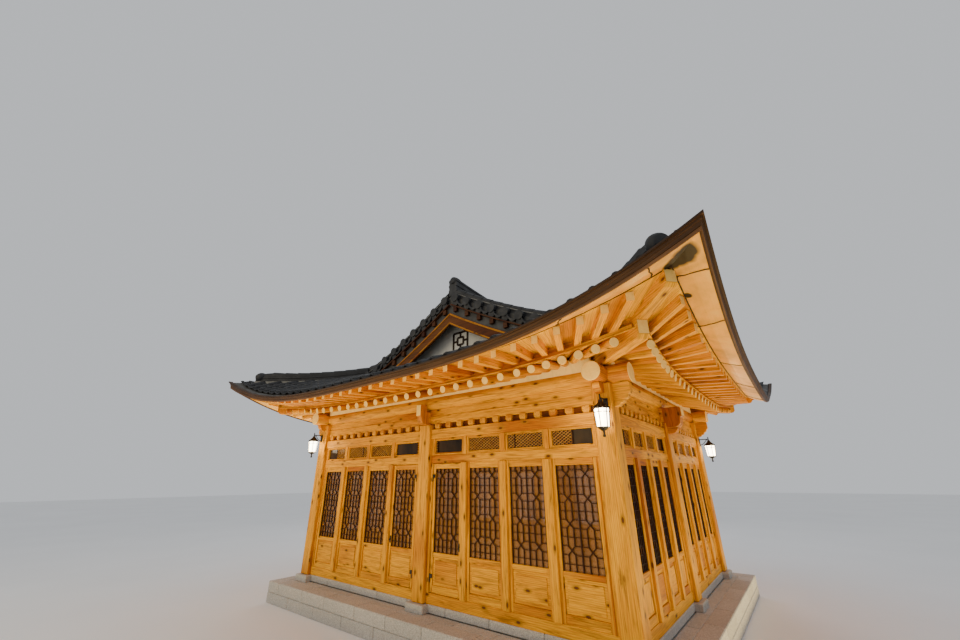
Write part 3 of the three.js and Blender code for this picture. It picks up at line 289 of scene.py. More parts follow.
class Pile:
    """Copies of shapes that are gathered to become one piece, on a line of the plan."""

    def __init__(self, quarter=0, line=0):
        self.quarter = quarter
        self.line = line
        self.parts = []
        self.points = 0
        self.corners = 0

    def add(self, shape, points, uv, slots=None):
        count = len(shape["starts"])
        if slots is None:
            slots = np.zeros(count, np.int32)
        loops, starts = shape["loops"] + self.points, shape["starts"] + self.corners
        smooth = np.full(count, shape["smooth"])
        self.parts.append((turned(points, self.quarter), loops, starts, uv, slots, smooth))
        self.points += len(points)
        self.corners += len(loops)

    def lay(self, name, points, size=(1, 1, 1), slots=None):
        """A copy with its points given, and with the grain of a piece of this size."""
        shape = shapes[name]
        self.add(shape, points, flat_uv(shape, shape["points"] * np.array(size), shift()), slots)

    def beam(self, name, start, end, width, height, up=(0, 0, 1), slot=0):
        """A squared timber from start to end, with the shape's chamfers kept at their size."""
        shape = shapes[name]
        start, end = np.array(start, float), np.array(end, float)
        size = np.array([np.linalg.norm(end - start), width, height])
        local = shape["points"] + np.sign(shape["points"]) * (size / 2 - 0.5)
        points = (start + end) / 2 + local @ axes_along(end - start, up)
        slots = np.full(len(shape["starts"]), slot, np.int32)
        self.add(shape, points, flat_uv(shape, local, shift()), slots)

    def block(self, name, low, high, slot=0):
        """A squared timber or stone between two corners, with its grain along its longest side."""
        low, high = np.minimum(low, high), np.maximum(low, high)
        size = high - low
        axis = int(size.argmax())
        start = (low + high) / 2
        end = start.copy()
        start[axis], end[axis] = low[axis], high[axis]
        width, height = (size[i] for i in range(3) if i != axis)
        self.beam(name, start, end, width, height, (0, 1, 0) if axis == 2 else (0, 0, 1), slot)

    def member(self, name, x, y, z, slot=0):
        """A block between two places along the line, two behind it, and two heights."""
        self.block(name, (x[0], y[0] - self.line, z[0]), (x[1], y[1] - self.line, z[1]), slot)

    def rod(self, name, start, end, radius, far_radius=None, near_slot=0, far_slot=0):
        """A round timber or bar from start to end."""
        shape = shapes[name]
        start, end = np.array(start, float), np.array(end, float)
        length = np.linalg.norm(end - start)
        local = shape["points"].copy()
        local[:, 0] += np.sign(local[:, 0]) * (length / 2 - 0.5)
        share = (local[:, 0] / length + 0.5)[:, None]
        local[:, 1:] *= radius + ((far_radius or radius) - radius) * share
        points = (start + end) / 2 + local @ axes_along(end - start)
        facing = np.repeat(shape["normals"], shape["totals"], 0)
        corner = local[shape["loops"]]
        flat = np.abs(facing[:, 0]) > 0.7
        u = np.where(flat, corner[:, 1], corner[:, 0])
        centre = np.arctan2(facing[:, 2], facing[:, 1])
        spread = np.arctan2(corner[:, 2], corner[:, 1]) - centre
        spread = centre + (spread + math.pi) % (2 * math.pi) - math.pi
        v = np.where(flat, corner[:, 2], spread * radius)
        slots = np.zeros(len(shape["starts"]), np.int32)
        slots[shape["normals"][:, 0] < -0.7] = near_slot
        slots[shape["normals"][:, 0] > 0.7] = far_slot
        self.add(shape, points, np.stack([u, v], 1) + shift(), slots)

    def piece(self, name, finishes, slot, body="house", nodes=()):
        points, loops, starts, uv, slots, smooth = (np.concatenate(row) for row in zip(*self.parts))
        mesh = bpy.data.meshes.new(name)
        mesh.vertices.add(len(points))
        mesh.vertices.foreach_set("co", points.ravel())
        mesh.loops.add(len(loops))
        mesh.loops.foreach_set("vertex_index", loops)
        mesh.polygons.add(len(starts))
        mesh.polygons.foreach_set("loop_start", starts)
        mesh.polygons.foreach_set("use_smooth", smooth)
        layer = mesh.uv_layers.new(name="UVMap")
        layer.data.foreach_set("uv", uv.astype(np.float32).ravel())
        mesh.update(calc_edges=True)
        mesh.validate()
        obj = bpy.data.objects.new(name, mesh)
        bpy.context.scene.collection.objects.link(obj)
        settle(obj, finishes, body, nodes)
        mesh.polygons.foreach_set("material_index", slots)
        mesh.update()


# Shapes that are modelled once, each about its own middle and along X.
def chamfered(chamfer):
    bpy.ops.mesh.primitive_cube_add(size=1)
    obj = bpy.context.active_object
    start_edit(obj)
    bpy.ops.mesh.bevel(offset=chamfer, offset_type="OFFSET", segments=1, affect="EDGES")
    end_edit()
    return read_shape(obj)


def tapered_block(shrink):
    """A bearing block: square above, with its lower half drawn in towards the foot."""
    bpy.ops.mesh.primitive_cube_add(size=1)
    obj = bpy.context.active_object
    start_edit(obj)
    bpy.ops.mesh.bisect(plane_co=(0, 0, -0.1), plane_no=(0, 0, 1))
    pick_faces(obj, lambda normal: normal.z < -0.9)
    bpy.ops.transform.resize(value=(shrink, shrink, 1))
    bpy.ops.mesh.select_all(action="SELECT")
    bpy.ops.mesh.bevel(offset=0.02, offset_type="OFFSET", segments=1, affect="EDGES")
    end_edit()
    return read_shape(obj)


def divided_board(cuts):
    """A board that is divided along its length, so that it can follow a curve."""
    bpy.ops.mesh.primitive_cube_add(size=1)
    obj = bpy.context.active_object
    start_edit(obj)
    for i in range(1, cuts):
        bpy.ops.mesh.select_all(action="SELECT")
        bpy.ops.mesh.bisect(plane_co=(i / cuts - 0.5, 0, 0), plane_no=(1, 0, 0))
    end_edit()
    return read_shape(obj)


def round_shape(sides, rim=0.05, depth=0.005):
    """A round timber with a rounded rim at both ends."""
    bpy.ops.mesh.primitive_cylinder_add(vertices=sides, radius=1, depth=1, rotation=(0, math.pi / 2, 0))
    obj = bpy.context.active_object
    start_edit(obj)
    end_edit()
    bpy.ops.object.transform_apply(location=True, rotation=True, scale=True)
    for way in (-1, 1):
        start_edit(obj)
        pick_faces(obj, lambda normal: normal.x * way > 0.9)
        bpy.ops.mesh.inset(thickness=rim)
        bpy.ops.transform.translate(value=(way * depth, 0, 0))
        end_edit()
    shape = read_shape(obj)
    shape["points"][:, 0] = np.clip(shape["points"][:, 0], -0.5 - depth, 0.5 + depth)
    return shape


def tile_shape(sides, thickness, bent):
    """A tile from a sheet whose points are carried to their places by a function."""
    bpy.ops.mesh.primitive_grid_add(x_subdivisions=1, y_subdivisions=sides, size=1)
    obj = bpy.context.active_object
    for vertex in obj.data.vertices:
        vertex.co = bent(vertex.co.x, vertex.co.y)
    start_edit(obj)
    bpy.ops.mesh.normals_make_consistent(inside=False)
    end_edit()
    if sum(face.normal.z * face.area for face in obj.data.polygons) < 0:
        start_edit(obj)
        bpy.ops.mesh.flip_normals()
        end_edit()
    wall = obj.modifiers.new("Wall", "SOLIDIFY")
    wall.thickness = thickness
    wall.offset = -1
    bpy.ops.object.modifier_apply(modifier=wall.name)
    return read_shape(obj)


def cover_bend(x, y):
    """Half a tube of radius 1 that narrows towards its upper end."""
    turn = (0.5 - y) * math.pi
    radius = 1.0 if x < 0 else 0.86
    return x, radius * math.cos(turn), radius * math.sin(turn)


def pan_bend(x, y):
    """A shallow trough that is 1 wide."""
    return x, y, 0.16 * (2 * y) ** 2


def lump_shape():
    """The domed end of a ridge, cut flat at its front and foot."""
    bpy.ops.mesh.primitive_uv_sphere_add(segments=20, ring_count=12, radius=1)
    lump = bpy.context.active_object
    start_edit(lump)
    bpy.ops.mesh.bisect(plane_co=(0.7, 0, 0), plane_no=(1, 0, 0), clear_outer=True, use_fill=True)
    bpy.ops.mesh.select_all(action="SELECT")
    bpy.ops.mesh.bisect(plane_co=(0, 0, -0.75), plane_no=(0, 0, -1), clear_outer=True, use_fill=True)
    end_edit()
    return read_shape(lump, smooth=True)


def swept(name, rings, finish, quarter=0, nodes=()):
    """A closed body swept through rings of points: rings is (stations, points, 3)."""
    rings = np.asarray(rings, float)
    rings = turned(rings.reshape(-1, 3), quarter).reshape(rings.shape)
    rings = np.concatenate([rings, rings[:, :1]], 1)
    stations, wide = rings.shape[:2]
    bpy.ops.mesh.primitive_grid_add(x_subdivisions=stations - 1, y_subdivisions=wide - 1, size=2)
    obj = bpy.context.active_object
    obj.name = name
    mesh = obj.data
    own = read(mesh.vertices, "co", 3)
    row = np.rint((own[:, 0] + 1) / 2 * (stations - 1)).astype(int)
    column = np.rint((own[:, 1] + 1) / 2 * (wide - 1)).astype(int)
    along, around = (distances(rings.mean(axis)) for axis in (1, 0))
    loops = read(mesh.loops, "vertex_index", kind=np.int32)
    uv = np.stack([along[row[loops]], around[column[loops]]], 1) + shift()
    mesh.uv_layers[0].data.foreach_set("uv", uv.astype(np.float32).ravel())
    mesh.vertices.foreach_set("co", rings[row, column].ravel())
    mesh.update()
    start_edit(obj)
    bpy.ops.mesh.remove_doubles(threshold=0.0001)
    bpy.ops.mesh.select_all(action="DESELECT")
    bpy.ops.mesh.select_mode(type="EDGE")
    bpy.ops.mesh.select_non_manifold()
    bpy.ops.mesh.fill_holes(sides=0)
    bpy.ops.mesh.select_mode(type="VERT")
    bpy.ops.mesh.select_all(action="SELECT")
    bpy.ops.mesh.normals_make_consistent(inside=False)
    end_edit()
    settle(obj, finish, nodes=nodes)


def distances(path):
    """How far each point lies along a path."""
    return np.concatenate([[0], np.cumsum(np.linalg.norm(np.diff(path, axis=0), axis=1))])


def plate(name, outline, thickness, chamfer):
    """A flat piece from an outline in the XZ plane, centred on Y, with chamfered edges."""
    bpy.ops.mesh.primitive_circle_add(vertices=len(outline), radius=1, fill_type="NGON")
    obj = bpy.context.active_object
    obj.name = name
    for vertex, (x, z) in zip(obj.data.vertices, outline):
        vertex.co = (x, -thickness / 2, z)
    start_edit(obj)
    bpy.ops.mesh.extrude_region_move(TRANSFORM_OT_translate={"value": (0, thickness, 0)})
    bpy.ops.mesh.select_all(action="SELECT")
    bpy.ops.mesh.normals_make_consistent(inside=False)
    end_edit()
    if chamfer:
        edge = obj.modifiers.new("Chamfer", "BEVEL")
        edge.width = chamfer
        edge.segments = 2
        edge.limit_method = "ANGLE"
        edge.angle_limit = math.radians(30)
        bpy.ops.object.modifier_apply(modifier=edge.name)
    return obj


def put(obj, matrix):
    """Moves a finished piece's mesh into place, so that its object stays at the origin."""
    obj.data.transform(matrix)
    obj.matrix_world = Matrix.Identity(4)


def unwrap(obj, directions):
    """Gives each face the two directions that a function of its normal names, from a random place."""
    mesh = obj.data
    offset = shift()
    for face in mesh.polygons:
        first, second, lift = directions(face.normal)
        for loop in face.loop_indices:
            point = mesh.vertices[mesh.loops[loop].vertex_index].co
            mesh.uv_layers[0].data[loop].uv = (point[first] + offset[0], point[second] + lift + offset[1])


def paint_ends(obj, test):
    """Paints the faces of a piece that pass a test."""
    for face in obj.data.polygons:
        face.material_index = int(test(face))


# The curves of the roof.
def bend(along, half, out):
    return np.minimum(np.abs(along) / (half + out), 1) ** CURVE


def rafter_height(along, half, out):
    share = 0.8 + 0.2 * (out + RAFTER_IN) / (RAFTER_OUT + RAFTER_IN)
    lift = ROUND_LIFT * bend(along, half, RAFTER_OUT + ROUND_SWEEP) * share
    return RAFTER_CENTRE - RAFTER_SLOPE * out + lift


def board_top(along, half, out):
    return rafter_height(along, half, out) + RAFTER_RISE + 0.02


def on_rafter(root, slant, out, height):
    """A place on a rafter's line: along the side, outwards, and its height."""
    return root + slant * (out + RAFTER_IN), out, height


def flying_line(tip, root, half):
    """A rafter line's slant, and where its flying rafter bends and ends, by its top."""
    knee_out = RAFTER_OUT + ROUND_SWEEP * bend(tip, half, RAFTER_OUT + ROUND_SWEEP)
    slant = (tip - root) / (knee_out + RAFTER_IN)
    lift = bend(root + slant * (FLYING_OUT + RAFTER_IN), half, FLYING_OUT + FLYING_SWEEP)
    knee = on_rafter(root, slant, knee_out, board_top(tip, half, knee_out) + BATTEN + FLYING_HEIGHT)
    top = FLYING_TIP_LOW + FLYING_LIFT * lift + FLYING_HEIGHT
    return slant, knee, on_rafter(root, slant, FLYING_OUT + FLYING_SWEEP * lift, top)


def rafter_lines(half):
    """The rafters of a side from its left to its right, each as where its tip and root lie along it."""
    straight = half - RAFTER_IN
    count = round(2 * straight / RAFTER_PITCH)
    lines = [(-straight - FAN_PITCH * i, -straight) for i in range(FAN_RAFTERS, 0, -1)]
    lines += [(-straight + 2 * straight * i / count,) * 2 for i in range(count + 1)]
    lines += [(straight + FAN_PITCH * i, straight) for i in range(1, FAN_RAFTERS + 1)]
    return lines


def stand(place, line, lift=0):
    """A point from a place along, outwards from a line, and its height."""
    return np.array([place[0], -line - place[1], place[2] + lift])


def through(places, share):
    """Places on a line through three points, where share runs from 0 to 2."""
    a, b, c = places
    return a + (b - a) * np.clip(share, 0, 1) + (c - b) * np.clip(share - 1, 0, 1)


def fade(run):
    return np.maximum(1 - np.asarray(run, float) / UPPER_RUN, 0) ** 1.5


def roof_height(run):
    run = np.asarray(run, float)
    return EAVE_TOP + RISE_SLOPE * run + RISE_CURVE * run**3


def hip_height(run):
    return roof_height(run) + EAVE_LIFT * fade(run)


def slope_half(half, run):
    return half + EAVE_OUT - run + EAVE_SWEEP * fade(run)


def roof_point(half, line, along, run, main):
    """A point of the roof's surface, for a place along the eave and a run up from it."""
    along, run = np.asarray(along, float), np.asarray(run, float)
    wide = slope_half(half, run)
    if main:
        wide = np.where(run > VERGE_RUN, VERGE_HALF, wide)
    lifted = np.minimum(np.abs(along) / wide, 1) ** CURVE * fade(run)
    out = EAVE_OUT - run + EAVE_SWEEP * lifted
    return np.stack([along + 0 * run, -line - out, roof_height(run) + EAVE_LIFT * lifted], -1)


def hip_run(half, along):
    """The run at which a line up the slope meets the hip."""
    low, high = 0.0, half + EAVE_OUT
    for _ in range(40):
        middle = (low + high) / 2
        if slope_half(half, middle) > abs(along):
            low = middle
        else:
            high = middle
    return low


def eave_levels(share):
    """The soffit's inner edge and the gutter, at a share of a side: outs and heights."""
    lift = abs(share) ** CURVE
    inner = FLYING_OUT + 0.005 + FLYING_SWEEP * lift
    tip = FLYING_TIP_LOW + FLYING_LIFT * lift + FLYING_HEIGHT + SHEET
    outer = EAVE_OUT + EAVE_SWEEP * lift
    return inner, tip, outer, GUTTER_LOW + GUTTER_LIFT * lift, EAVE_TOP + 0.025 + EAVE_LIFT * lift


def leaf_spans(half):
    """Where each leaf of a wall lies between its posts, from left to right."""
    pitch = (half - COLUMN) / LEAVES
    spans = []
    for start in (-half + COLUMN / 2, COLUMN / 2):
        for i in range(LEAVES):
            left = start + pitch * i + (JAMB if i == 0 else POST / 2)
            right = start + pitch * (i + 1) - (JAMB if i == LEAVES - 1 else POST / 2)
            spans.append((left, right))
    return spans


# Finishes.
class Finish:
    """Builds the nodes of one material."""

    def __init__(self, name, **settings):
        self.material = bpy.data.materials.new(name)
        self.material.use_nodes = True
        self.tree = self.material.node_tree
        self.tree.nodes.clear()
        output = self.add("ShaderNodeOutputMaterial")
        self.shader = self.add("ShaderNodeBsdfPrincipled")
        self.link(self.shader.outputs[0], output.inputs["Surface"])
        for socket, value in settings.items():
            self.shader.inputs[socket.replace("_", " ").title().replace("Ior", "IOR")].default_value = value

    def add(self, kind, **settings):
        made = self.tree.nodes.new(kind)
        for key, value in settings.items():
            setattr(made, key, value)
        return made

    def link(self, source, target):
        self.tree.links.new(source, target)

    def fill(self, socket, value):
        """Links a socket, or sets it to a number or a colour."""
        if isinstance(value, bpy.types.NodeSocket):
            self.link(value, socket)
        elif isinstance(value, (int, float)):
            socket.default_value = value
        else:
            socket.default_value = (*value, 1)

    def place(self, source="Object", scale=(1, 1, 1)):
        coordinates = self.add("ShaderNodeTexCoord")
        mapping = self.add("ShaderNodeMapping")
        mapping.inputs["Scale"].default_value = scale
        self.link(coordinates.outputs[source], mapping.inputs["Vector"])
        return mapping.outputs[0]

    def noise(self, where, scale, detail=4, roughness=0.55, distortion=0.0):
        made = self.add("ShaderNodeTexNoise")
        values = {"Scale": scale, "Detail": detail, "Roughness": roughness, "Distortion": distortion}
        for socket, value in values.items():
            made.inputs[socket].default_value = value
        self.link(where, made.inputs["Vector"])
        return made.outputs["Fac"]

    def cells(self, where, scale, space="3D"):
        made = self.add("ShaderNodeTexVoronoi", voronoi_dimensions=space)
        made.inputs["Scale"].default_value = scale
        self.link(where, made.inputs["Vector"])
        return made

    def ramp(self, value, *stops):
        made = self.add("ShaderNodeValToRGB")
        elements = made.color_ramp.elements
        while len(elements) < len(stops):
            elements.new(0.5)
        for element, (position, colour) in zip(elements, stops):
            element.position = position
            element.color = (*(colour,) * 3, 1) if isinstance(colour, (int, float)) else (*colour, 1)
        self.link(value, made.inputs["Fac"])
        return made.outputs["Color"]

    def mix(self, factor, first, second, blend="MIX"):
        made = self.add("ShaderNodeMix", data_type="RGBA", blend_type=blend)
        for index, value in ((0, factor), (6, first), (7, second)):
            self.fill(made.inputs[index], value)
        return made.outputs[2]

    def maths(self, first, second, operation="ADD"):
        made = self.add("ShaderNodeMath", operation=operation)
        for socket, value in zip(made.inputs, (first, second)):
            self.fill(socket, value)
        return made.outputs[0]

    def done(self, colour, roughness=None, height=None, strength=0.2, distance=0.01):
        self.link(colour, self.shader.inputs["Base Color"])
        if roughness is not None:
            self.link(roughness, self.shader.inputs["Roughness"])
        if height is not None:
            bump = self.add("ShaderNodeBump")
            bump.inputs["Strength"].default_value = strength
            bump.inputs["Distance"].default_value = distance
            self.link(height, bump.inputs["Height"])
            self.link(bump.outputs[0], self.shader.inputs["Normal"])
        return self.material


def shade(colour, factor):
    return tuple(min(part * factor, 1.0) for part in colour)


def pine_finish(name, colour, source="UV", knots=0.075):
    """Oiled pine: growth lines along the grain, knots with dark rims, and a tone for each timber."""
    finish = Finish(name, specular_ior_level=0.16)
    rings = finish.place(source, (1.1, 11, 11))
    fibre = finish.place(source, (6, 170, 170))
    slow = finish.place(source, (0.35, 0.35, 0.35))
    cells = finish.cells(finish.place(source, (2.1, 4.6, 4.6)), 1.0, "2D" if source == "UV" else "3D")
    knot_here = finish.ramp(cells.outputs["Color"], (0.46, 0), (0.5, 1))
    near = finish.ramp(cells.outputs["Distance"], (knots, 1), (knots * 2.6, 0))
    core = finish.ramp(cells.outputs["Distance"], (knots * 0.8, 1), (knots * 1.2, 0))
    near = finish.mix(1.0, near, knot_here, "MULTIPLY")
    core = finish.mix(1.0, core, knot_here, "MULTIPLY")
    grain = finish.noise(rings, 1.6, 5, 0.65, 1.1)
    lines = finish.add("ShaderNodeTexWave", wave_type="BANDS", bands_direction="Y")
    for socket, value in (("Scale", 1.1), ("Distortion", 9.0), ("Detail", 2.0), ("Detail Scale", 0.8)):
        lines.inputs[socket].default_value = value
    finish.link(rings, lines.inputs["Vector"])
    fibres = finish.noise(fibre, 1.0, 3, 0.6)
    tone = finish.noise(slow, 1.0, 2, 0.5)
    pale = (*shade(colour[:1], 1.25), colour[1] * 1.35, colour[2] * 2)
    body = finish.ramp(grain, (0.28, shade(colour, 0.42)), (0.48, colour), (0.68, pale))
    dark_lines = finish.ramp(lines.outputs["Color"], (0.0, (0.72, 0.54, 0.4)), (0.4, 1.0))
    body = finish.mix(0.7, body, dark_lines, "MULTIPLY")
    body = finish.mix(0.5, body, finish.ramp(fibres, (0.35, 0.72), (0.6, 1.0)), "MULTIPLY")
    body = finish.mix(1.0, body, finish.ramp(tone, (0.34, (0.62, 0.42, 0.35)), (0.5, 1.0)), "MULTIPLY")
    body = finish.mix(near, body, shade(colour, 0.45))
    body = finish.mix(core, body, (0.11, 0.032, 0.006))
    height = finish.maths(fibres, finish.maths(lines.outputs["Fac"], 0.4, "MULTIPLY"))
    return finish.done(body, finish.ramp(grain, (0.3, 0.5), (0.7, 0.66)), height, 0.16, 0.003)


def painted_end(name, colour):
    """Cream paint on end grain, with rings and checks showing through."""
    finish = Finish(name)
    where = finish.place("UV")
    rings = finish.noise(where, 70, 3, 0.6, 1.2)
    stains = finish.noise(where, 9, 4)
    body = finish.ramp(rings, (0.25, shade(colour, 0.86)), (0.6, colour))
    body = finish.mix(0.5, body, finish.ramp(stains, (0.35, (0.86, 0.74, 0.55)), (0.6, 1.0)), "MULTIPLY")
    return finish.done(body, finish.ramp(stains, (0.3, 0.55), (0.7, 0.75)), rings, 0.12, 0.003)


def tile_finish(name, colour):
    """Fired clay: smoked grey, with a tone for each tile, pale dust and a few spots of lichen."""
    finish = Finish(name)
    tone = finish.noise(finish.place("UV", (0.5, 0.5, 0.5)), 1.0, 1)
    where = finish.place()
    dust = finish.noise(where, 5.5, 6, 0.65)
    pores = finish.noise(where, 90, 3, 0.6)
    spots = finish.cells(where, 9.0).outputs["Distance"]
    body = finish.ramp(tone, (0.3, shade(colour, 0.62)), (0.5, colour), (0.7, shade(colour, 1.9)))
    body = finish.mix(finish.ramp(dust, (0.55, 0), (0.82, 0.22)), body, (0.13, 0.125, 0.115))
    body = finish.mix(finish.ramp(spots, (0.04, 0.35), (0.09, 0)), body, (0.12, 0.13, 0.08))
    rough = finish.ramp(dust, (0.35, 0.42), (0.7, 0.78))
    return finish.done(body, rough, finish.maths(pores, dust), 0.25, 0.004)


def plaster_finish(name, colour):
    """Lime plaster with sand in it and the sweeps of a trowel."""
    finish = Finish(name)
    trowel = finish.noise(finish.place(scale=(1, 1, 0.45)), 7, 5, 0.6, 0.8)
    sand = finish.noise(finish.place(), 130, 3)
    body = finish.ramp(trowel, (0.3, shade(colour, 0.86)), (0.62, colour))
    rough = finish.ramp(sand, (0.3, 0.8), (0.7, 0.95))
    return finish.done(body, rough, finish.maths(sand, trowel), 0.18, 0.004)


def granite_finish(name, colour):
    """Grey granite: pale and dark grains, a chiselled face, and a tone for each stone."""
    finish = Finish(name)
    where = finish.place()
    grains = finish.cells(where, 95).outputs["Color"]
    dark = finish.cells(where, 60).outputs["Distance"]
    tone = finish.noise(finish.place("UV", (0.4, 0.4, 0.4)), 1.0, 1)
    chisel = finish.noise(where, 34, 5, 0.7)
    body = finish.ramp(grains, (0.2, shade(colour, 0.78)), (0.8, shade(colour, 1.22)))
    body = finish.mix(finish.ramp(dark, (0.16, 0.7), (0.3, 0)), body, (0.07, 0.068, 0.065))
    body = finish.mix(0.7, body, finish.ramp(tone, (0.3, 0.8), (0.65, 1.0)), "MULTIPLY")
    return finish.done(body, finish.ramp(chisel, (0.3, 0.72), (0.7, 0.92)), chisel, 0.35, 0.006)


def copper_finish(name, colour):
    """Thin copper-coloured sheet: brushed, dented a little, browned in drifts, stained at the corners."""
    finish = Finish(name, metallic=0.25)
    where = finish.place()
    drift = finish.noise(where, 1.6, 5, 0.6, 0.4)
    brushed = finish.noise(finish.place("UV", (2, 70, 1)), 1.0, 3)
    dents = finish.noise(where, 5, 2, 0.4)
    body = finish.ramp(drift, (0.32, shade(colour, 0.62)), (0.52, colour), (0.72, (0.96, 0.60, 0.17)))
    body = finish.mix(0.35, body, finish.ramp(brushed, (0.3, 0.8), (0.7, 1.0)), "MULTIPLY")
    mirrored = finish.add("ShaderNodeVectorMath", operation="ABSOLUTE")
    finish.link(where, mirrored.inputs[0])
    nearest = 9.0
    for centre, radius in STAINS:
        away = finish.add("ShaderNodeVectorMath", operation="DISTANCE")
        finish.link(mirrored.outputs[0], away.inputs[0])
        away.inputs[1].default_value = centre
        nearest = finish.maths(finish.maths(away.outputs["Value"], radius, "DIVIDE"), nearest, "MINIMUM")
    ragged = finish.maths(nearest, finish.maths(dents, 0.8, "MULTIPLY"))
    stain = finish.ramp(drift, (0.35, (0.012, 0.009, 0.003)), (0.65, (0.05, 0.032, 0.008)))
    stained = finish.ramp(finish.maths(ragged, 0.5, "MULTIPLY"), (0.62, 1.0), (0.82, 0))
    body = finish.mix(stained, body, stain)
    rough = finish.ramp(drift, (0.3, 0.5), (0.7, 0.36))
    return finish.done(body, rough, finish.maths(dents, 1.5, "MULTIPLY"), 0.22, 0.02)


def gutter_finish(name, colour):
    """Painted sheet with weathered streaks along it."""
    finish = Finish(name, metallic=0.1, specular_ior_level=0.25)
    streaks = finish.noise(finish.place("UV", (1.1, 48, 1)), 1.0, 5, 0.65)
    wear = finish.noise(finish.place(), 3, 5)
    body = finish.ramp(streaks, (0.3, shade(colour, 0.6)), (0.5, colour), (0.74, shade(colour, 2.2)))
    return finish.done(body, finish.ramp(wear, (0.3, 0.5), (0.7, 0.68)), wear, 0.1, 0.01)


def metal_finish(name):
    """Black iron with a fine uneven skin."""
    finish = Finish(name, metallic=0.75)
    grain = finish.noise(finish.place(), 60, 4)
    body = finish.ramp(grain, (0.35, (0.012, 0.011, 0.010)), (0.7, (0.05, 0.045, 0.04)))
    return finish.done(body, finish.ramp(grain, (0.3, 0.36), (0.7, 0.6)), grain, 0.15, 0.002)


def glass_finish(name):
    """Float glass, tinted warm brown partly as painted warm light from the lit rooms behind it, with faint
    streaks.
    """
    finish = Finish(name, roughness=0.06, alpha=0.5)
    streaks = finish.noise(finish.place(scale=(3, 3, 0.4)), 1.0, 3)
    finish.material.surface_render_method = "BLENDED"
    return finish.done(finish.ramp(streaks, (0.3, (0.20, 0.085, 0.018)), (0.7, (0.42, 0.20, 0.045))))


def smoked_finish(name):
    """The glass of the vents, coloured near black as painted shade of the dark space behind it."""
    finish = Finish(name, specular_ior_level=0.15)
    haze = finish.noise(finish.place(scale=(4, 4, 2)), 1.0, 4)
    body = finish.ramp(haze, (0.3, (0.012, 0.008, 0.004)), (0.7, (0.045, 0.026, 0.010)))
    return finish.done(body, finish.ramp(haze, (0.3, 0.08), (0.7, 0.2)))


def glow_finish(name, colour):
    """Frosted glass that gives light."""
    finish = Finish(name, roughness=0.3, emission_color=(*colour, 1), emission_strength=14.0)
    frost = finish.noise(finish.place(), 40, 3)
    return finish.done(finish.ramp(frost, (0.3, shade(colour, 0.9)), (0.7, colour)))


def floor_finish(name):
    """The studio's pale floor."""
    finish = Finish(name, roughness=0.85)
    cloud = finish.noise(finish.place(), 0.25, 3)
    return finish.done(finish.ramp(cloud, (0.3, 0.80), (0.7, 0.84)))


class MakeFinishes(bpy.types.Operator):
    """Mix the finishes: pine, paint, tile, plaster, stone, sheet metal and glass"""

    bl_idname = "hanok.finishes"
    bl_label = "Finishes"

    def execute(self, context):
        own = context.scene.hanok_colours
        look["pine"] = pine_finish("Oiled pine", own.pine)
        look["red_pine"] = pine_finish("Red pine of the beam heads", (0.56, 0.21, 0.016))
        look["dark_pine"] = pine_finish("Shaded pine", (0.10, 0.034, 0.008))
        # the board behind the bearing blocks is darkened: painted shade in the recess between the blocks
        look["recess_pine"] = pine_finish("Pine behind the blocks, darkened as painted shade", (0.20, 0.063, 0.007))
        look["vent_pine"] = pine_finish("Vent lattice", (0.45, 0.22, 0.033), knots=0.01)
        look["flying"] = pine_finish("Flying rafters", (0.80, 0.35, 0.003), knots=0.06)
        look["boards"] = pine_finish("Roof boards", own.boards, knots=0.04)
        look["planks"] = pine_finish("Floor planks", (0.50, 0.27, 0.09))
        look["frame_pine"] = pine_finish("Pine inside the roof", own.pine, "Object")
        look["barge_pine"] = pine_finish("Bargeboard pine", (0.17, 0.055, 0.009), "Object")
        look["lattice"] = pine_finish("Dark lattice", own.lattice, knots=0.01)
        look["end"] = painted_end("Painted rafter ends", own.rafter_end)
        # painted light: the white lime infill over the purlins is coloured a strong warm yellow, as if warmly
        # lit
        look["infill"] = plaster_finish("Infill over the purlins, warmed as painted light", (1.0, 0.78, 0.30))
        look["mortar"] = plaster_finish("Lime mortar under the ridges", (0.26, 0.25, 0.22))
        look["plaster"] = plaster_finish("Lime plaster", own.plaster)
        look["tile"] = tile_finish("Fired roof tile", own.tile)
        look["bedding"] = tile_finish("Tile bedding", (0.05, 0.046, 0.04))
        look["granite"] = granite_finish("Granite", own.granite)
        look["copper"] = copper_finish("Copper sheet", own.copper)
        # the dark seam sheet also makes the painted shadow line at the soffit's inner edge
        look["seam"] = gutter_finish("Sheet seams", (0.035, 0.018, 0.01))
        look["gutter"] = gutter_finish("Brown gutter sheet", own.gutter)
        look["bronze"] = gutter_finish("Lower band of the gutter", shade(own.gutter, 2.0))
        look["metal"] = metal_finish("Black iron")
        # the warm brown of the window glass is partly painted light from the rooms behind
        look["glass"] = glass_finish("Window glass with painted warm light")
        look["smoked"] = smoked_finish("Vent glass darkened as painted shade")
        look["glow"] = glow_finish("Lantern glass", own.glow)
        look["stage"] = floor_finish("Studio floor")
        return {"FINISHED"}


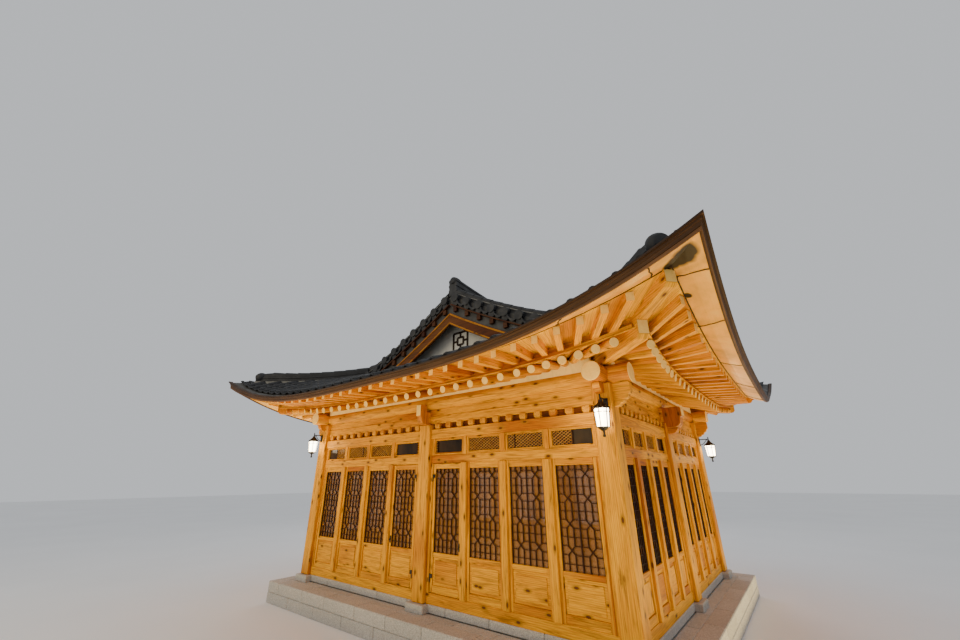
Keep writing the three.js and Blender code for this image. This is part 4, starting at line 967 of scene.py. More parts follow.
class MakeShapes(bpy.types.Operator):
    """Model the shapes that repeat: timber, bars, stones, round timber and tiles"""

    bl_idname = "hanok.shapes"
    bl_label = "Repeated shapes"

    def execute(self, context):
        shapes["timber"] = chamfered(context.scene.hanok_sizes.chamfer)
        shapes["column"] = chamfered(0.016)
        shapes["bar"] = chamfered(0.0018)
        shapes["stone"] = chamfered(0.012)
        shapes["block"] = tapered_block(0.72)
        shapes["board"] = divided_board(4)
        shapes["flying"] = divided_board(2)
        shapes["hexagon"] = round_shape(6, 0.1, 0.002)
        shapes["round"] = round_shape(14)
        shapes["purlin"] = round_shape(32, 0.04, 0.006)
        shapes["disc"] = round_shape(12, 0.22, 0.004)
        shapes["cover"] = tile_shape(8, 0.2, cover_bend)
        shapes["pan"] = tile_shape(6, 0.07, pan_bend)
        shapes["lump"] = lump_shape()
        arc = [(math.cos(turn), math.sin(turn)) for turn in np.linspace(math.pi, 2 * math.pi, 9)]
        drip = [(x / 2, z) for x, z in arc] + [(x * 0.42, z * 0.6) for x, z in reversed(arc)]
        shapes["drip"] = read_shape(plate("drip", drip, 1, 0))
        return {"FINISHED"}


class MakePlatform(bpy.types.Operator):
    """Lay the granite platform, the paving, the plinth and the stones under the columns"""

    bl_idname = "hanok.platform"
    bl_label = "Stone platform"

    def execute(self, context):
        sizes = context.scene.hanok_sizes
        mean, joint, facing, ring, course = sizes.stone_length, 0.004, 0.3, 0.085, 0.2
        pile = Pile()
        for _, half, line, quarter in SIDES:
            pile.line, pile.quarter = line, quarter
            whole = quarter % 2 == 0
            long, short = half + PLATFORM_OUT, half + PLATFORM_OUT - facing
            outer, inner = -PLATFORM_OUT, facing - PLATFORM_OUT
            paving = (PLATFORM_TOP - 0.12, PLATFORM_TOP - joint)
            # each course as its heights, the share of its first stone, its front and back, and its end
            for low, high, first, front, back, end in (
                (0, course, 1, outer, inner, long if whole else short),
                (course, PLATFORM_TOP, 0.5, outer, inner, long if whole else short),
                (*paving, 0.3, inner, -ring, short if whole else half + 0.09),
                (PLATFORM_TOP, BASE_TOP, 0.2, -ring, ring, half + (ring if whole else -ring)),
            ):
                x, step = -end, mean * first
                while x < end - 0.01:
                    far = x + step if end - x - step >= 0.35 * mean else end
                    top = high - (joint if low == 0 else 0)
                    pile.member("stone", (x + joint / 2, far - joint / 2), (front, back), (low, top))
                    x, step = far, mean * luck.uniform(0.85, 1.15)
        pile.quarter = pile.line = 0
        side = 0.215
        for x in (-HALF_WIDTH, 0, HALF_WIDTH):
            for y in (-HALF_DEPTH, 0, HALF_DEPTH):
                if x or y:
                    foot = (x - side, y - side, PLATFORM_TOP - 0.01)
                    pile.block("stone", foot, (x + side, y + side, BASE_TOP))
        inside_x, inside_y = HALF_WIDTH + 0.28, HALF_DEPTH + 0.28
        pile.block("stone", (-inside_x, -inside_y, 0.02), (inside_x, inside_y, PLATFORM_TOP - 0.02))
        pile.piece("platform_stones", "granite", "granite", nodes=("stone_platform",))
        planks = Pile()
        end_x, end_y = HALF_WIDTH - 0.05, HALF_DEPTH - 0.05
        y = -end_y
        while y < end_y - 0.01:
            far_y = min(y + sizes.plank_width, end_y)
            x = -end_x
            while x < end_x - 0.01:
                far_x = min(x + luck.uniform(1.6, 2.6), end_x)
                top = FLOOR_TOP - luck.uniform(0, 0.0008)
                planks.block("bar", (x, y, FLOOR_TOP - 0.07), (far_x - 0.001, far_y - 0.002, top))
                x = far_x
            y = far_y
        planks.piece("floor_planks", "planks", "floor_boards", nodes=("floor",))
        return {"FINISHED"}


def wall_members(wall, half, doors):
    """The middle column, sill, beams, posts, vent frames and fixed leaves of one wall."""
    column, end = COLUMN / 2, half - COLUMN / 2
    face, filler = (BEAM_FRONT, MEMBER_BACK), (-0.066, MEMBER_BACK - 0.01)
    leaf_height, vent_height = (SILL_TOP, HEAD_LOW), (HEAD_TOP, LINTEL_LOW)
    wall.member("column", (-column, column), (-column, column), (BASE_TOP, LINTEL_TOP + 0.1))
    for bay in ((-end, -column), (column, end)):
        wall.member("timber", bay, face, (BASE_TOP, SILL_TOP))
        wall.member("timber", bay, face, (HEAD_LOW, HEAD_TOP))
        wall.member("timber", bay, (LINTEL_FRONT, -LINTEL_FRONT), (LINTEL_LOW, LINTEL_TOP))
        wall.member("timber", bay, filler, (HEAD_TOP, VENT_LOW - VENT_RIM))
        wall.member("timber", bay, filler, (VENT_TOP + VENT_RIM, LINTEL_LOW))
    for index, (left, right) in enumerate(leaf_spans(half)):
        first, last = index % LEAVES == 0, index % LEAVES == LEAVES - 1
        jambs = []
        if first:
            jambs.append((left - JAMB, left, 0.022))
        else:
            wall.member("timber", (left - POST, left), (POST_FRONT, MEMBER_BACK), leaf_height)
            post = (left - POST + VENT_SIDE, left - VENT_SIDE)
            wall.member("timber", post, (-0.082, MEMBER_BACK), vent_height)
        if last:
            jambs.append((right, right + JAMB, -0.022))
        for start, stop, aside in jambs:
            wall.member("timber", (start, stop), face, leaf_height)
            bead = (start + stop) / 2 + aside
            wall.member("timber", (bead - 0.009, bead + 0.009), (BEAM_FRONT - 0.018, BEAM_FRONT), leaf_height)
            wall.member("timber", (start, stop), (-0.07, MEMBER_BACK), vent_height)
        vent = (left + VENT_SIDE, right - VENT_SIDE)
        outer = (left - (0 if first else VENT_SIDE), right + (0 if last else VENT_SIDE))
        for x in ((outer[0], vent[0]), (vent[1], outer[1])):
            wall.member("timber", x, (-0.062, MEMBER_BACK - 0.01), vent_height)
        for z in ((VENT_LOW - VENT_RIM, VENT_LOW), (VENT_TOP, VENT_TOP + VENT_RIM)):
            wall.member("timber", vent, (-0.058, MEMBER_BACK - 0.014), z)
        if index not in doors:
            leaf_members(wall, left, right, *leaf_height)


def leaf_members(leaf, left, right, low, high):
    """A glazed leaf: stiles, rails, and a fielded panel in its lower part."""
    depth, field = (LEAF_FRONT, LEAF_BACK), 0.045
    inner = (left + STILE, right - STILE)
    panel_low, panel_top = low + 0.11, PANE_LOW - 0.07
    leaf.member("timber", (left, inner[0]), depth, (low, high))
    leaf.member("timber", (inner[1], right), depth, (low, high))
    for z in ((PANE_TOP, high), (panel_top, PANE_LOW), (low, panel_low)):
        leaf.member("timber", inner, (LEAF_FRONT + 0.002, LEAF_BACK), z)
    leaf.member("timber", inner, (LEAF_FRONT + 0.02, LEAF_BACK), (panel_low, panel_top))
    raised = (inner[0] + field, inner[1] - field)
    height = (panel_low + field, panel_top - field)
    leaf.member("timber", raised, (LEAF_FRONT + 0.009, LEAF_FRONT + 0.022), height)


def leaf_lattice(bars, left, right, bar):
    """Two chains of long hexagons with crossings between them, a middle bar and short ties."""
    x0, x1, z0, z1 = left + STILE, right - STILE, PANE_LOW, PANE_TOP
    wide, deep, y = x1 - x0, 0.022, -bars.line - 0.042
    half, period, first, reach = 0.085 * wide, 0.328, 0.122, 0.054
    lowest = z0 + 0.02

    def stick(a, b, width=bar, depth=deep):
        bars.beam("bar", (a[0], y, a[1]), (b[0], y, b[1]), width, depth, (0, 1, 0))

    middle = x0 + wide / 2
    stick((middle, z0), (middle, z1), bar * 1.3)
    for x in (x0 + bar / 2, x1 - bar / 2):
        stick((x, z0), (x, z1))
    crossings = []
    z = z1 - first
    while z > z0:
        crossings.append(z)
        z -= period
    gaps = []
    for share, inner, outer in ((0.25, x0, middle), (0.75, middle, x1)):
        centre = x0 + share * wide
        gaps += [(inner, centre - half), (centre + half, outer)]
        upper = z1
        for z in crossings:
            for side in (-half, half):
                stick((centre + side, upper), (centre + side, z + reach))
                low = max(z - reach, z0)
                fall = (z + reach - low) / (2 * reach)
                foot = (centre + side * (1 - 2 * fall), low)
                stick((centre + side, z + reach), foot, bar, deep * (0.9 if side < 0 else 0.8))
            upper = z - reach
        if upper > lowest:
            for side in (-half, half):
                stick((centre + side, upper), (centre + side, z0))
    for z in [z + way * reach for z in crossings for way in (1, -1)]:
        if z > lowest:
            for a, b in gaps:
                stick((a, z), (b, z), bar * 0.7, deep * 0.7)
    for z in crossings:
        if z - period / 2 > lowest:
            stick((x0, z - period / 2), (x1, z - period / 2), bar * 0.6, deep * 0.6)


def vent_lattice(bars, left, right, share):
    """A fine diagonal lattice over a share of a vent, from its right where the share is negative."""
    x0, x1, y = left + VENT_SIDE, right - VENT_SIDE, -bars.line - 0.038
    if share > 0:
        x1 = x0 + (x1 - x0) * share
    else:
        x0 = x1 + (x1 - x0) * share
    wide, pitch, rise = x1 - x0, 0.068, 0.66
    run = (VENT_TOP - VENT_LOW) / rise
    for way in (1, -1):
        base = -run
        while base < wide:
            start, end = max(base, 0), min(base + run, wide)
            if end - start > 0.01:
                ends = [
                    (x0 + place if way > 0 else x1 - place, y, VENT_LOW + (place - base) * rise)
                    for place in (start, end)
                ]
                bars.beam("bar", *ends, 0.008, 0.009 + way * 0.002, (0, 1, 0))
            base += pitch


def hinge_half(iron, x, way, pin, leaf):
    """One half of a hinge: a knuckle between two heights, and the leaf of the hinge beside it."""
    line = -HINGE_OUT
    iron.rod("disc", (x, line, pin[0]), (x, line, pin[1]), PIN)
    near, back, low, high = leaf
    iron.block("bar", (x + way * near, line - 0.004, low), (x + way * 0.05, line + back, high))


class MakeWalls(bpy.types.Operator):
    """Build the columns, the walls with their fixed leaves and vents, and the two door leaves"""

    bl_idname = "hanok.walls"
    bl_label = "Walls and doors"

    def execute(self, context):
        bar = context.scene.hanok_sizes.lattice_bar
        columns = Pile()
        for _, _, sx, sy in CORNERS:
            x, y, half = sx * HALF_WIDTH, sy * HALF_DEPTH, COLUMN / 2
            columns.block("column", (x - half, y - half, BASE_TOP), (x + half, y + half, PURLIN_SEAT))
        nodes = tuple("column_" + name for name, *_ in CORNERS)
        columns.piece("corner_columns", "pine", "frame_pine", nodes=nodes)
        for side in SIDES:
            self.wall(bar, *side)
        for index, side in DOOR_LEAVES.items():
            self.door(bar, side, *leaf_spans(HALF_WIDTH)[index])
        knuckles = Pile()
        for x, way in ((-0.224, 1), (0.224, -1)):
            for height in HINGE_HEIGHTS:
                pin = (height - 0.059, height - 0.001)
                hinge_half(knuckles, x, way, pin, (0.002, 0.013, height - 0.06, height - 0.001))
        knuckles.piece("hinge_knuckles", "metal", "lantern_metal")
        for name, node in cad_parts.items():
            if "glass" in name:
                use(node, "glass")
            elif name in ("roof_frame", "ridge_purlin"):
                use(node, "frame_pine")
        return {"FINISHED"}

    def wall(self, bar, name, half, line, quarter):
        doors = DOOR_LEAVES if name == "front" else {}
        wall, bars, fine, panes = (Pile(quarter, line) for _ in range(4))
        wall_members(wall, half, doors)
        # the share of each vent that has a lattice, and where the vent's stile stands
        lattice_shares, stile_shares = (0.08, 1, 1, 0.52), (0.08, 0, 0.22, 0.52)
        for index, (left, right) in enumerate(leaf_spans(half)):
            if index not in doors:
                leaf_lattice(bars, left, right, bar)
            mirrored = index < LEAVES
            place = LEAVES - 1 - index if mirrored else index - LEAVES
            way = -1 if mirrored else 1
            vent_lattice(fine, left, right, way * lattice_shares[place])
            if stile_shares[place]:
                wide = right - left - 2 * VENT_SIDE
                x = (right - VENT_SIDE if mirrored else left + VENT_SIDE) + way * stile_shares[place] * wide
                bars.member("bar", (x - 0.009, x + 0.009), (-0.05, -0.032), (VENT_LOW, VENT_TOP))
            height = (VENT_LOW - 0.006, VENT_TOP + 0.006)
            panes.member("bar", (left + 0.014, right - 0.014), (-0.0315, -0.0285), height)
        wall.piece("timber_wall_" + name, "pine", "frame_pine", nodes=("wall_" + name,))
        bars.piece("leaf_lattice_" + name, "lattice", "door_pine")
        fine.piece("vent_lattice_" + name, "vent_pine", "door_pine")
        # the vent panes are opaque and near black: painted shade of the space behind the glass
        panes.piece("vent_panes_" + name, "smoked", "window_glass")

    def door(self, bar, side, left, right):
        leaf, bars, iron = (Pile(0, HALF_DEPTH) for _ in range(3))
        leaf_members(leaf, left + DOOR_GAP, right - DOOR_GAP, SILL_TOP + DOOR_GAP, HEAD_LOW - DOOR_GAP)
        leaf_lattice(bars, left + 0.001, right - 0.001, bar)
        body = side + "_door"
        leaf.piece("door_timber_" + side, "pine", "door_pine", body, ("door_leaf_" + side,))
        bars.piece("door_lattice_" + side, "lattice", "door_pine", body)
        x, way = (right - DOOR_GAP, -1) if side == "left" else (left + DOOR_GAP, 1)
        for height in HINGE_HEIGHTS:
            pin = (height + 0.001, height + 0.059)
            hinge_half(iron, x, way, pin, (0.004, 0.016, height, height + 0.06))
        handle = x + way * 0.655
        iron.block("bar", (handle - 0.018, -2.936, 1.34), (handle + 0.018, -2.9295, 1.46))
        iron.rod("disc", (handle, -2.932, 1.4), (handle, -2.955, 1.4), 0.014)
        iron.piece("door_iron_" + side, "metal", "lantern_metal", body)


class MakeBeams(bpy.types.Operator):
    """Set the bearing blocks, strips, purlins and the carved ends of the beams"""

    bl_idname = "hanok.beams"
    bl_label = "Beams and purlins"

    def execute(self, context):
        count = context.scene.hanok_sizes.blocks
        strips, blocks = Pile(), Pile()
        board_half, strip_half, seat_half = 0.015, 0.062, 0.05
        size = np.array([0.12, 0.17, BLOCK_TOP - LINTEL_TOP])
        for _, half, line, quarter in SIDES:
            strips.line, strips.quarter, blocks.quarter = line, quarter, quarter
            for left, right in ((-half + COLUMN / 2, -COLUMN / 2), (COLUMN / 2, half - COLUMN / 2)):
                # the board behind the blocks takes the second finish, a pine darkened as painted shade of the
                # recess
                strips.member("bar", (left, right), (-board_half, board_half), (LINTEL_TOP, BLOCK_TOP), 1)
                pitch = (right - left) / count
                for i in range(count):
                    middle = np.array([left + pitch * (i + 0.5), -line, (LINTEL_TOP + BLOCK_TOP) / 2])
                    blocks.lay("block", middle + shapes["block"]["points"] * size)
            end = half + 0.06
            strips.member("timber", (-end, end), (-strip_half, strip_half), (BLOCK_TOP, STRIP_JOINT))
            strips.member("timber", (-end, end), (-seat_half, seat_half), (STRIP_JOINT, PURLIN_SEAT))
        nodes = ("bearing_front", "bearing_back")
        strips.piece("bearing_strips", "pine recess_pine", "frame_pine", nodes=nodes)
        blocks.piece("bearing_blocks", "pine", "frame_pine")
        for name, half, line, quarter in SIDES:
            purlin, reach = Pile(quarter), half + PURLIN_END
            ends = [(way * reach, -line, PURLIN_CENTRE) for way in (-1, 1)]
            purlin.rod("purlin", *ends, PURLIN_RADIUS, near_slot=1, far_slot=1)
            purlin.piece("round_purlin_" + name, "pine end", "frame_pine", nodes=("purlin_" + name,))
        self.beam_ends()
        return {"FINISHED"}

    def beam_ends(self):
        """The tie beam and the cross beams with their heads, and the heads at the corners."""
        tie = Pile()
        end, half_wide = HALF_WIDTH + 0.12, 0.13
        tie.block("column", (-end, -half_wide, LINTEL_TOP), (end, half_wide, PURLIN_SEAT))
        tie.piece("tie_beam_timber", "frame_pine", "frame_pine")
        for quarter, name, nodes in ((1, "right", ("tie_beam",)), (3, "left", ())):
            self.head(
                "beam_head_" + name, BEAM_HEAD, quarter, HALF_WIDTH,
                width=0.26, chamfer=0.016, painted=3.56, nodes=nodes,
            )
            self.head("beam_nose_" + name, BEAM_NOSE, quarter, HALF_WIDTH, width=0.15, chamfer=0.014)
        for quarter, name in ((0, "front"), (2, "back")):
            self.head(
                "cross_head_" + name, CROSS_HEAD, quarter, HALF_DEPTH,
                width=0.13, chamfer=0.008, painted=3.6, nodes=("cross_beam_" + name,),
            )
            rest = Pile(quarter, HALF_DEPTH)
            across, joint = (-0.065, 0.065), 3.45
            rest.member("timber", across, (-0.11, HALF_DEPTH - half_wide), (joint, 3.7))
            rest.member("timber", across, (-0.1, 0.1), (LINTEL_TOP, joint + 0.01))
            rest.piece("cross_beam_timber_" + name, "frame_pine", "frame_pine")
        for name, half, line, quarter in SIDES:
            outline = LONG_HEAD if quarter % 2 else SHORT_HEAD
            for title, along in (("_first", -half), ("_second", half)):
                corner_head = "corner_head_" + name + title
                self.head(corner_head, outline, quarter, line, width=0.11, chamfer=0.006, along=along)

    def head(self, name, outline, quarter, line, width, chamfer, along=0, painted=None, nodes=()):
        """A carved head, with cream paint on its end above a height where that is given."""
        head = plate(name, outline, width, chamfer)
        facing_out = Matrix.Rotation(-math.pi / 2, 4, "Z")
        turn = Matrix.Rotation(quarter * math.pi / 2, 4, "Z")
        put(head, turn @ Matrix.Translation((along, -line, 0)) @ facing_out)
        size = [far - near for near, far in zip(head.bound_box[0], head.bound_box[6])]

        def directions(normal):
            axis = max(range(3), key=lambda i: abs(normal[i]))
            first, second = (i for i in range(3) if i != axis)
            return (second, first, 0) if size[second] > size[first] else (first, second, 0)

        unwrap(head, directions)
        settle(head, "pine end" if along else "red_pine end", nodes=nodes)
        if painted:
            outward, least = turn @ Vector((0, -1, 0)), 0.004

            def facing_out_above(face):
                return face.center.z >= painted and face.area >= least and face.normal.dot(outward) >= 0.9

            paint_ends(head, facing_out_above)


class MakeRafters(bpy.types.Operator):
    """Lay the round rafters, the flying rafters, the hip rafters, the battens and the roof boards"""

    bl_idname = "hanok.rafters"
    bl_label = "Rafters and boards"

    def execute(self, context):
        radius = context.scene.hanok_sizes.rafter_radius
        for name, half, line, quarter in SIDES:
            lines = rafter_lines(half)
            self.round_tier(name, half, line, quarter, lines, radius)
            self.flying_tier(name, half, line, quarter, lines)
            self.boards(name, half, line, quarter, lines)
            self.battens(name, half, line, quarter)
        self.hips()
        return {"FINISHED"}

    def round_tier(self, name, half, line, quarter, lines, radius):
        pile = Pile(quarter)
        for tip, root in lines:
            slant, knee, _ = flying_line(tip, root, half)
            ends = []
            for out in (0.02 - RAFTER_IN if tip == root else -FAN_TAIL, knee[1]):
                ends.append(stand(on_rafter(root, slant, out, rafter_height(tip, half, out)), line))
            pile.rod("round", *ends, radius, radius * 0.97, far_slot=1)
        pile.piece("round_rafters_" + name, "pine end", "frame_pine", nodes=("rafters_" + name,))
        infill = []
        outer, inner, outer_foot, inner_foot = 0.118, 0.05, PURLIN_CENTRE + 0.07, PURLIN_CENTRE + 0.11
        for along in np.linspace(-1, 1, 25) * (half - 0.12):
            top = rafter_height(along, half, outer) + 0.05
            section = ((outer, outer_foot), (outer, top), (inner, top), (inner, inner_foot))
            infill.append([(along, -line - out, z) for out, z in section])
        # the infill's warm yellow colour is painted light
        swept("rafter_infill_" + name, infill, "infill", quarter)

    def flying_tier(self, name, half, line, quarter, lines):
        pile, shape = Pile(quarter), shapes["flying"]
        slots = (shape["normals"][:, 0] > 0.9).astype(np.int32)
        for tip, root in lines:
            slant, knee, end = flying_line(tip, root, half)
            out = knee[1] - 0.5
            tail = on_rafter(root, slant, out, board_top(tip, half, out) + FLYING_HEIGHT + 0.06)
            places = [stand(place, line) for place in (tail, knee, end)]
            x, y, z = (shape["points"][:, i : i + 1] for i in range(3))
            side = unit(np.array([1.0, slant * 0.35, 0]))
            points = through(places, (x + 0.5) * 2) + side * (y * FLYING_WIDTH)
            points[:, 2:] += (z - 0.5) * FLYING_HEIGHT
            pile.lay("flying", points, (math.dist(tail, end), FLYING_WIDTH, FLYING_HEIGHT), slots)
        nodes = ("flying_rafters_" + name,)
        pile.piece("square_flying_rafters_" + name, "flying end", "frame_pine", nodes=nodes)

    def boards(self, name, half, line, quarter, lines):
        """Boards fill each gap between rafters: on both tiers, and upright at the eave."""
        low_tier, high_tier, stops = (Pile(quarter) for _ in range(3))
        inset, fit = 0.085, 0.992
        tip = half + RAFTER_OUT + ROUND_SWEEP - inset
        root = half - RAFTER_IN - inset
        lines = [(-tip, -root), *lines, (tip, root)]
        x, y, z = (shapes["board"]["points"][:, i : i + 1] for i in range(3))
        thick = (z + 0.5) * BOARD
        for pair in zip(lines, lines[1:]):
            low, high, feet, heads = [], [], [], []
            for tip, root in pair:
                slant, knee, end = flying_line(tip, root, half)
                row = []
                for out, over in ((-0.035, 0), (knee[1], 0.03)):
                    top = rafter_height(tip, half, out) + RAFTER_RISE
                    row.append(stand(on_rafter(root, slant, out + over, top), line))
                low.append(row)
                rise = (knee[2] - end[2]) / (end[1] - knee[1])
                back = on_rafter(root, slant, knee[1] - 0.12, knee[2])
                front = (end[0], end[1] + 0.02, end[2] - 0.02 * rise)
                high.append([stand(place, line, 0.001) for place in (back, knee, front)])
                out = knee[1] - STOP_BACK
                foot = on_rafter(root, slant, out, board_top(tip, half, out) - 0.01)
                feet.append(stand(foot, line))
                heads.append(stand((foot[0], out, knee[2] + 0.01), line))
            gap = np.linalg.norm(low[0][1] - low[1][1])
            s, t = x + 0.5, y + 0.5
            points = (feet[0] * (1 - s) + feet[1] * s) * (1 - t) + (heads[0] * (1 - s) + heads[1] * s) * t
            points[:, 1:2] += z * 0.02
            stops.lay("board", points, (gap, 0.15, 0.02))
            t = y * fit + 0.5
            left, right = (row[0] + (row[1] - row[0]) * s for row in low)
            points = left + (right - left) * t
            points[:, 2:] += 0.002 + thick
            low_tier.lay("board", points, (0.9, gap, 0.02))
            left, right = (through(row, s * 2) for row in high)
            points = left + (right - left) * t
            points[:, 2:] += thick
            high_tier.lay("board", points, (0.6, gap, 0.02))
        low_tier.piece("rafter_boards_" + name, "boards", "floor_boards")
        high_tier.piece("flying_boards_" + name, "boards", "floor_boards")
        stops.piece("eave_stops_" + name, "boards", "floor_boards")

    def battens(self, name, half, line, quarter):
        """The curved strips that lie on the tips of both tiers."""
        low_section = ((-0.035, 0), (-0.035, 0.045), (0.035, 0.055), (0.035, 0.01))
        high_section = ((-0.03, 0.015), (-0.03, 0.05), (0.03, 0.055), (0.03, 0.02))
        lower, upper = [], []
        for share in np.linspace(-1, 1, 41):
            lift = abs(share) ** CURVE
            out = RAFTER_OUT - 0.03 + ROUND_SWEEP * lift
            along = share * (half + out - 0.1)
            base = board_top(along, half, out)
            lower.append([(along, -line - out + y, base + z) for y, z in low_section])
            out = FLYING_OUT - 0.01 + FLYING_SWEEP * lift
            along = share * (half + out - 0.1)
            base = FLYING_TIP_LOW + FLYING_LIFT * lift + FLYING_HEIGHT
            upper.append([(along, -line - out + y, base + z) for y, z in high_section])
        swept("eave_batten_" + name, lower, "pine", quarter)
        swept("flying_batten_" + name, upper, "pine", quarter)

    def hips(self):
        """Each hip rafter is a lower beam and a flying beam on it, from outlines along the diagonal."""
        diagonal = math.sqrt(2)
        base = PURLIN_CENTRE + PURLIN_RADIUS
        far = (RAFTER_OUT + ROUND_SWEEP) * diagonal
        tip = HIP_TIP_OUT * diagonal
        inner = -(RAFTER_IN + 0.06) * diagonal
        top = FLYING_TIP_LOW + FLYING_LIFT + FLYING_HEIGHT
        lower = (
            (inner, base + 0.17), (-0.35, base), (far - 0.06, base), (far - 0.004, base + 0.05),
            (far, base + 0.24), (-0.2, base + 0.24), (inner, base + 0.4),
        )
        upper = (
            (0.42, base + 0.235), (far + 0.03, base + 0.235), (tip - 0.05, top - 0.2), (tip, top - 0.165),
            (tip, top), (far, base + 0.372), (0.42, base + 0.3),
        )

        def directions(normal):
            if abs(normal.x) > 0.9:
                return 1, 2, 0
            return (0, 2, 0) if abs(normal.y) > 0.7 else (0, 1, 0.3)

        for name, quarter, sx, sy in CORNERS:
            outward = Vector((sx, sy, 0)).normalized()
            for title, outline, width, nodes in (
                ("hip_beam_", lower, HIP_WIDTH, ("hip_rafter_" + name,)),
                ("hip_flying_beam_", upper, HIP_WIDTH * 0.93, ()),
            ):
                hip = plate(title + name, outline, width, 0.008)
                unwrap(hip, directions)
                turn = Matrix.Rotation(-math.pi / 4 + quarter * math.pi / 2, 4, "Z")
                put(hip, Matrix.Translation((sx * HALF_WIDTH, sy * HALF_DEPTH, 0)) @ turn)
                settle(hip, "pine end", nodes=nodes)
                paint_ends(hip, lambda face: face.normal.dot(outward) > 0.9 and face.area > 0.01)


class MakeEaves(bpy.types.Operator):
    """Bend the copper-coloured soffit sheets with their seams, and the stepped gutter"""

    bl_idname = "hanok.eaves"
    bl_label = "Eave sheets and gutter"

    def execute(self, context):
        for name, half, line, quarter in SIDES:
            sheet, edge = [], []
            rings = {title: [] for title in EAVE_PROFILES}
            for step in np.linspace(-1, 1, 49):
                share = np.sign(step) * abs(step) ** 0.8
                inner, tip, outer, low, top = eave_levels(share)

                def ring(pairs):
                    return [(share * (half + out), -line - out, z) for out, z in pairs]

                end, sheet_end = outer - SHEET_END, low + SHEET_FOOT
                middle, bulge = (inner + end) / 2, (tip + low) / 2 - SHEET_SAG
                slope = (bulge - tip) / (middle - inner)
                under = [(inner, tip), (middle, bulge), (end, sheet_end)]
                sheet.append(ring(under + [(out, z + SHEET) for out, z in reversed(under)]))
                # a thin dark strip along the inner edge of the soffit sheet: a painted shadow line, where the
                # flying batten shades the sheet
                near, far = inner + 0.018, inner + 0.032
                edge.append(
                    ring(
                        (out, tip + (out - inner) * slope + lift)
                        for out, lift in ((near, -0.008), (far, -0.008), (far, 0.006), (near, 0.006))
                    )
                )
                for title, profile in EAVE_PROFILES.items():
                    pairs = [(outer - back, low + part * (top - low) + lift) for back, part, lift in profile]
                    rings[title].append(ring(pairs))
            gutter_nodes = ("eave_gutter",) if quarter == 0 else ()
            for title, path, finish, nodes in (
                ("soffit_sheet_", sheet, "copper", ()),
                ("stepped_gutter_", rings["stepped_gutter_"], "gutter", gutter_nodes),
                ("gutter_lip_", rings["gutter_lip_"], "seam", ()),
                ("gutter_bead_", rings["gutter_bead_"], "bronze", ()),
                # the dark strip at the soffit's inner edge is a painted shadow line in the dark seam finish
                ("soffit_shadow_line_", edge, "seam", ()),
            ):
                swept(title + name, path, finish, quarter, nodes)
            self.seams(name, half, line, quarter)
        return {"FINISHED"}

    def seams(self, name, half, line, quarter):
        """Folded seams across the soffit, a little wavy. The last one runs from the hip's tip."""
        pile = Pile(quarter)
        wave, wide, high = 0.012, 0.015, 0.008
        places = [(0.0, 0.0), (0.38, 0.38), (0.72, 0.72), (0.962, 0.905)]
        for start, end in places + [(-start, -end) for start, end in places[1:]]:
            points = []
            for step in np.linspace(0, 1, 8):
                share = start + (end - start) * step
                inner, tip, outer, low, _ = eave_levels(share)
                sag = SHEET_SAG * (1 - abs(2 * step - 1))
                out = inner + (outer - SHEET_END - inner) * step
                along = share * (half + out) + luck.uniform(-wave, wave)
                z = tip + (low + SHEET_FOOT - tip) * step - sag - high / 2
                points.append((along, -line - out, z))
            for a, b in zip(points, points[1:]):
                pile.beam("bar", a, b, wide, high)
        pile.piece("soffit_seams_" + name, "seam", "gutter_metal")


